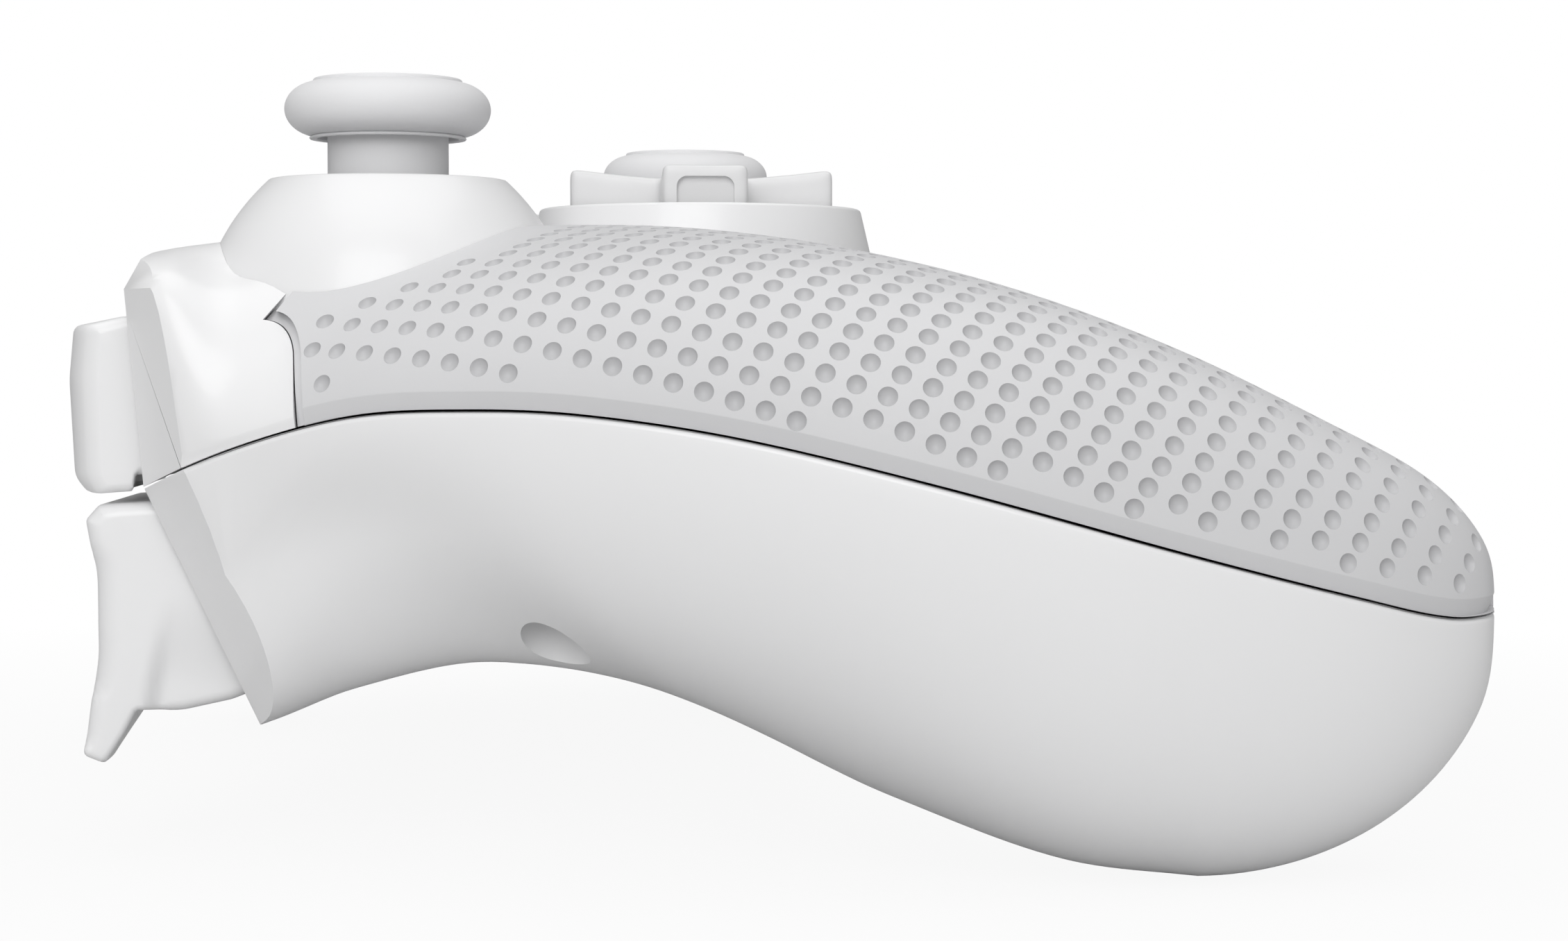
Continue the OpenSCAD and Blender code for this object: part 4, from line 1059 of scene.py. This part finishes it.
def end_face(line, radius, step):
    """Triangles over an outline, with how far each point drops to round the edge by the radius beside it."""
    run = np.roll(line, -1, axis=0) - np.roll(line, 1, axis=0)
    inward = np.stack([-run[:, 1], run[:, 0]], axis=1)
    inward /= np.linalg.norm(inward, axis=1, keepdims=True)
    area = np.sum(line[:, 0] * np.roll(line[:, 1], -1) - np.roll(line[:, 0], -1) * line[:, 1])
    inward *= np.sign(area)
    rings = [line]
    for angle in np.radians((20, 38, 54, 68, 80, 90)):
        depth = radius * (1 - math.cos(angle))
        ring = line + inward * depth[:, None]
        away, _ = edge_distance(ring, line)
        rings.append(ring[away > depth * 0.97])
    lo, hi = line.min(axis=0), line.max(axis=0)
    grid = np.stack(np.meshgrid(*[np.arange(lo[k], hi[k], step) for k in (0, 1)]), axis=-1).reshape(-1, 2)
    away, side = edge_distance(grid, line)
    rings.append(grid[away > radius[side] * 1.1])
    points = np.concatenate(rings)
    n = len(line)
    sides = [(i, (i + 1) % n) for i in range(n)]
    made = delaunay_2d_cdt([Vector(p) for p in points.tolist()], sides, [], 1, 1e-5)
    flat = np.array([tuple(p) for p in made[0]])
    away, side = edge_distance(flat, line)
    reach = np.maximum(0, 1 - away / radius[side])
    origin = [min(o) if o else -1 for o in made[3]]
    return flat, radius[side] * (1 - np.sqrt(1 - reach ** 2)), made[2], origin


def bar(line, lo, hi, lo_radius, hi_radius, step=0.9, middle=3):
    """Solid of a YZ outline along x, its ends rounded by one radius or by one for each outline point."""
    n = len(line)
    points, faces, rims = [], [], []
    for end, inwards, radius in ((lo, 1, lo_radius), (hi, -1, hi_radius)):
        flat, drop, triangles, origin = end_face(line, np.full(n, radius), step)
        start = len(points)
        points += [(end + inwards * d, y, z) for (y, z), d in zip(flat, drop)]
        faces += [tuple(start + v for v in (t if inwards < 0 else t[::-1])) for t in triangles]
        rim = [0] * n
        for v, o in enumerate(origin):
            if 0 <= o < n:
                rim[o] = start + v
        rims.append(rim)
    loops = [rims[0]]
    for u in np.linspace(0, 1, middle + 2)[1:-1]:
        loops.append(list(range(len(points), len(points) + n)))
        for j in range(n):
            a, b = points[rims[0][j]], points[rims[1][j]]
            points.append((mix(a[0], b[0], u), a[1], a[2]))
    loops.append(rims[1])
    for first, second in zip(loops, loops[1:]):
        faces += [(first[j], first[(j + 1) % n], second[(j + 1) % n], second[j]) for j in range(n)]
    return solid(points, faces, 1e-5)


def radii(line, *marks):
    """Edge radius for each outline point: mean of the marks (y, z, radius), where near ones weigh more."""
    marks = np.array(marks)
    weight = 1 / (np.sum((line[:, None] - marks[None, :, :2]) ** 2, axis=2) + 0.4) ** 2
    return weight @ marks[:, 2] / weight.sum(axis=1)


def make_bumpers():
    back = front_y - 3.4
    out = front_y + bumper_out
    bar_low = bumper_low - 1.5
    line = even(rounded([(back, bumper_top, 0.2), (front_y + 1.2, bumper_top, 3),
                         (out - 0.4, bumper_top - 0.75, 0.8), (out, bumper_top - 5, 9),
                         (out - 0.4, bar_low + 1.2, 2), (out - 1.4, bar_low, 0.8),
                         (front_y + 0.5, bar_low + 0.2, 0.3), (front_y + 0.2, bumper_low, 0.2),
                         (back, bumper_low, 0.2)], 10), 0.3)
    right = bar(line, bumper_in, shoulder_x, 0.4, 0.8, 0.9, 30)
    # The front curves back towards the outer end
    bend, depth = 7.5, 3.6
    for v in right.data.vertices:
        u = min(1, max(0, (v.co.x - shoulder_x + bend) / bend)) * 0.97
        share = max(0, v.co.y - back) / (out - back)
        v.co.y -= depth * (1 - math.sqrt(1 - u * u)) * share
    inside = oblong((back - 1, bumper_low + 2), (back + 6, bumper_top - 2))
    cut(right, prism(inside, "x", bumper_in + 5.5, shoulder_x - 2.5))
    boss_x, boss_y, hub_r, bore_r = bumper_in + 1.5, front_y - 6.7, 2.3, 1.05
    join(right, rod((boss_x, boss_y), hub_r, bumper_low + 0.3, bumper_top - 0.7))
    arm = oblong((boss_x - 1.4, boss_y), (boss_x + hub_r, front_y - 2))
    join(right, prism(arm, "z", bumper_low + 0.31, bumper_top - 0.71))
    cut(right, rod((boss_x, boss_y), bore_r, bumper_low - 2, bumper_top + 1))
    finish_pair(right, "_bumper")


def make_triggers():
    # Outline about the pin: the lever's top and front, its tip, and the quadrant behind it
    line = even(rounded([(0, 2.4, 0.5), (6.5, 2.9, 2), (12.6, 2.55, 0.8), (13.7, 1.3, 0.6), (12.95, -3, 12),
                         (12.9, -9.5, 12), (13.95, -17.3, 0.6), (12.2, -18.0, 0.5), (10.5, -15.3, 6),
                         (9.7, -13.7, 0.3), (6.6, -14.0, 6), (2.4, -13.1, 4), (-0.5, -12, 0.6), (-2, -1, 1)],
                        10), 0.25)
    soft = radii(line, (10, 2.8, 1.1), (13.4, 1.4, 1.4), (12.9, -4, 2.2), (12.9, -10, 2.2), (13.6, -15, 1.4),
                 (13.2, -17.6, 0.6), (11.2, -16.5, 0.5), (9.7, -13.5, 0.5), (6, -14, 0.9), (0, -12, 0.9),
                 (-2, 0, 0.5))
    at = (trig_y, trig_z)
    right = bar(line + np.array(at), trig_in, shoulder_x, 0.5, soft, 0.5, 16)
    # The quadrant sinks behind the lever's lower half. The lever's tip is shorter towards the middle plane
    sink, tip_z = 1.1, -13.7
    for v in right.data.vertices:
        y, z = v.co.y - trig_y, v.co.z - trig_z
        behind_lever = 8.25 - 0.169 * (z + 6.1) - y
        outer = smooth(shoulder_x - 3, shoulder_x - 1, v.co.x)
        v.co.x -= sink * outer * smooth(0, 1.7, behind_lever) * smooth(4.5, 12, -z)
        short = 0.75 * smooth(3, 17, shoulder_x - v.co.x)
        v.co.z += short * max(0, tip_z - z)
    hub_r, bore_r, spring_r, spring_half, side_t = 2.6, 1.3, 4.2, 4, 2.4
    join(right, pin(at, hub_r, "x", trig_in + 0.01, shoulder_x - 0.01))
    inside = [(10.0, -1.6), (10.0, -10.5), (8.3, -12.2), (3.6, -11.3), (1.4, -10.9), (-4, -10.2), (-4, -3.2),
              (3.2, -3.2), (3.2, -1.6)]
    cut(right, prism(shifted(inside, at), "x", trig_in + side_t, shoulder_x - side_t))
    cut(right, pin(at, bore_r, "x", trig_in - 1, shoulder_x + 1, 48))
    middle = trig_in + trigger_w / 2
    cut(right, pin(at, spring_r, "x", middle - spring_half, middle + spring_half))
    finish_pair(right, "_trigger")


# Stage, light and camera

def make_stage():
    size, below = 4.0, 0.0004
    corners = [(-size, -size, 0), (size, -size, 0), (size, size, 0), (-size, size, 0)]
    floor = new_object(corners, [(0, 1, 2, 3)], "floor")
    floor.location.z = -below
    material, nodes, links, shader = node_material("pale_floor")
    coords = nodes.new("ShaderNodeTexCoord").outputs["Object"]
    grain = noise(nodes, links, coords, 30, 2)
    links.new(spread(nodes, links, grain, 0.8, 0.9), shader.inputs["Roughness"])
    set_inputs(shader, {"Base Color": (0.62, 0.62, 0.62, 1)})
    # White to the camera, with the shadow showing softly near the object and fading out around it
    glow = nodes.new("ShaderNodeEmission")
    set_inputs(glow, {"Color": (1, 1, 1, 1)})
    length = nodes.new("ShaderNodeVectorMath")
    length.operation = "LENGTH"
    links.new(coords, length.inputs[0])
    near, far = 0.07, 0.18
    white = spread(nodes, links, length.outputs["Value"], 0.92, 1.0, near, far)
    path = nodes.new("ShaderNodeLightPath")
    seen = nodes.new("ShaderNodeMath")
    seen.operation = "MULTIPLY"
    links.new(white, seen.inputs[0])
    links.new(path.outputs["Is Camera Ray"], seen.inputs[1])
    blend = nodes.new("ShaderNodeMixShader")
    links.new(seen.outputs[0], blend.inputs["Fac"])
    links.new(shader.outputs[0], blend.inputs[1])
    links.new(glow.outputs[0], blend.inputs[2])
    links.new(blend.outputs[0], nodes["Material Output"].inputs["Surface"])
    floor.data.materials.append(material)


def make_world():
    world = bpy.data.worlds.new("studio")
    bpy.context.scene.world = world
    world.use_nodes = True
    nodes, links = world.node_tree.nodes, world.node_tree.links
    light = nodes["Background"]
    set_inputs(light, {"Color": (1, 1, 1, 1), "Strength": 0.33})
    shown = nodes.new("ShaderNodeBackground")
    set_inputs(shown, {"Color": (1, 1, 1, 1), "Strength": 1.0})
    path = nodes.new("ShaderNodeLightPath")
    blend = nodes.new("ShaderNodeMixShader")
    links.new(path.outputs["Is Camera Ray"], blend.inputs["Fac"])
    links.new(light.outputs[0], blend.inputs[1])
    links.new(shown.outputs[0], blend.inputs[2])
    links.new(blend.outputs[0], nodes["World Output"].inputs["Surface"])


def aimed(name, data, place, direction):
    """A lamp or the camera at its place, facing along a direction."""
    obj = link(name, data)
    obj.location = place
    obj.rotation_mode = "QUATERNION"
    obj.rotation_quaternion = Vector(direction).to_track_quat("-Z", "Y")
    return obj


def make_lamp(name, place, aim, size, power):
    lamp = bpy.data.lights.new(name, "AREA")
    lamp.shape = "RECTANGLE"
    lamp.size, lamp.size_y = size
    lamp.energy = power
    aimed(name, lamp, place, (np.array(aim) - np.array(place)).tolist())


def make_camera():
    camera = bpy.data.cameras.new("camera")
    camera.sensor_width = 36
    camera.lens = 66.83
    camera.clip_start = 0.01
    yaw, pitch = math.radians(3.853), math.radians(-2.235)
    ahead = (math.cos(yaw) * math.cos(pitch), -math.sin(yaw) * math.cos(pitch), math.sin(pitch))
    bpy.context.scene.camera = aimed("camera", camera, Vector((-279, 13.5, 39.2)) * MM, ahead)


make_camera()
make_world()
make_stage()
lamp_aim = (0, 0, 0.03)
make_lamp("top_lamp", (-0.05, 0.0, 0.95), lamp_aim, (1.0, 1.0), 4.0)
make_lamp("front_lamp", (-0.9, 0.15, 0.5), lamp_aim, (0.7, 0.7), 5.0)
bpy.context.scene.view_settings.view_transform = "Standard"

make_top_shell()
make_bezel()
make_bottom_shell()
make_screws()
make_sticks()
make_collar()
make_plinths()
make_buttons()
make_dpad()
make_bumpers()
make_triggers()

for row in frame["record"]["subparts"]:
    for place in frame["nodes"][row["node"]].material_slots:
        place.material = SLOT_MATERIALS[row["material_slot"]]
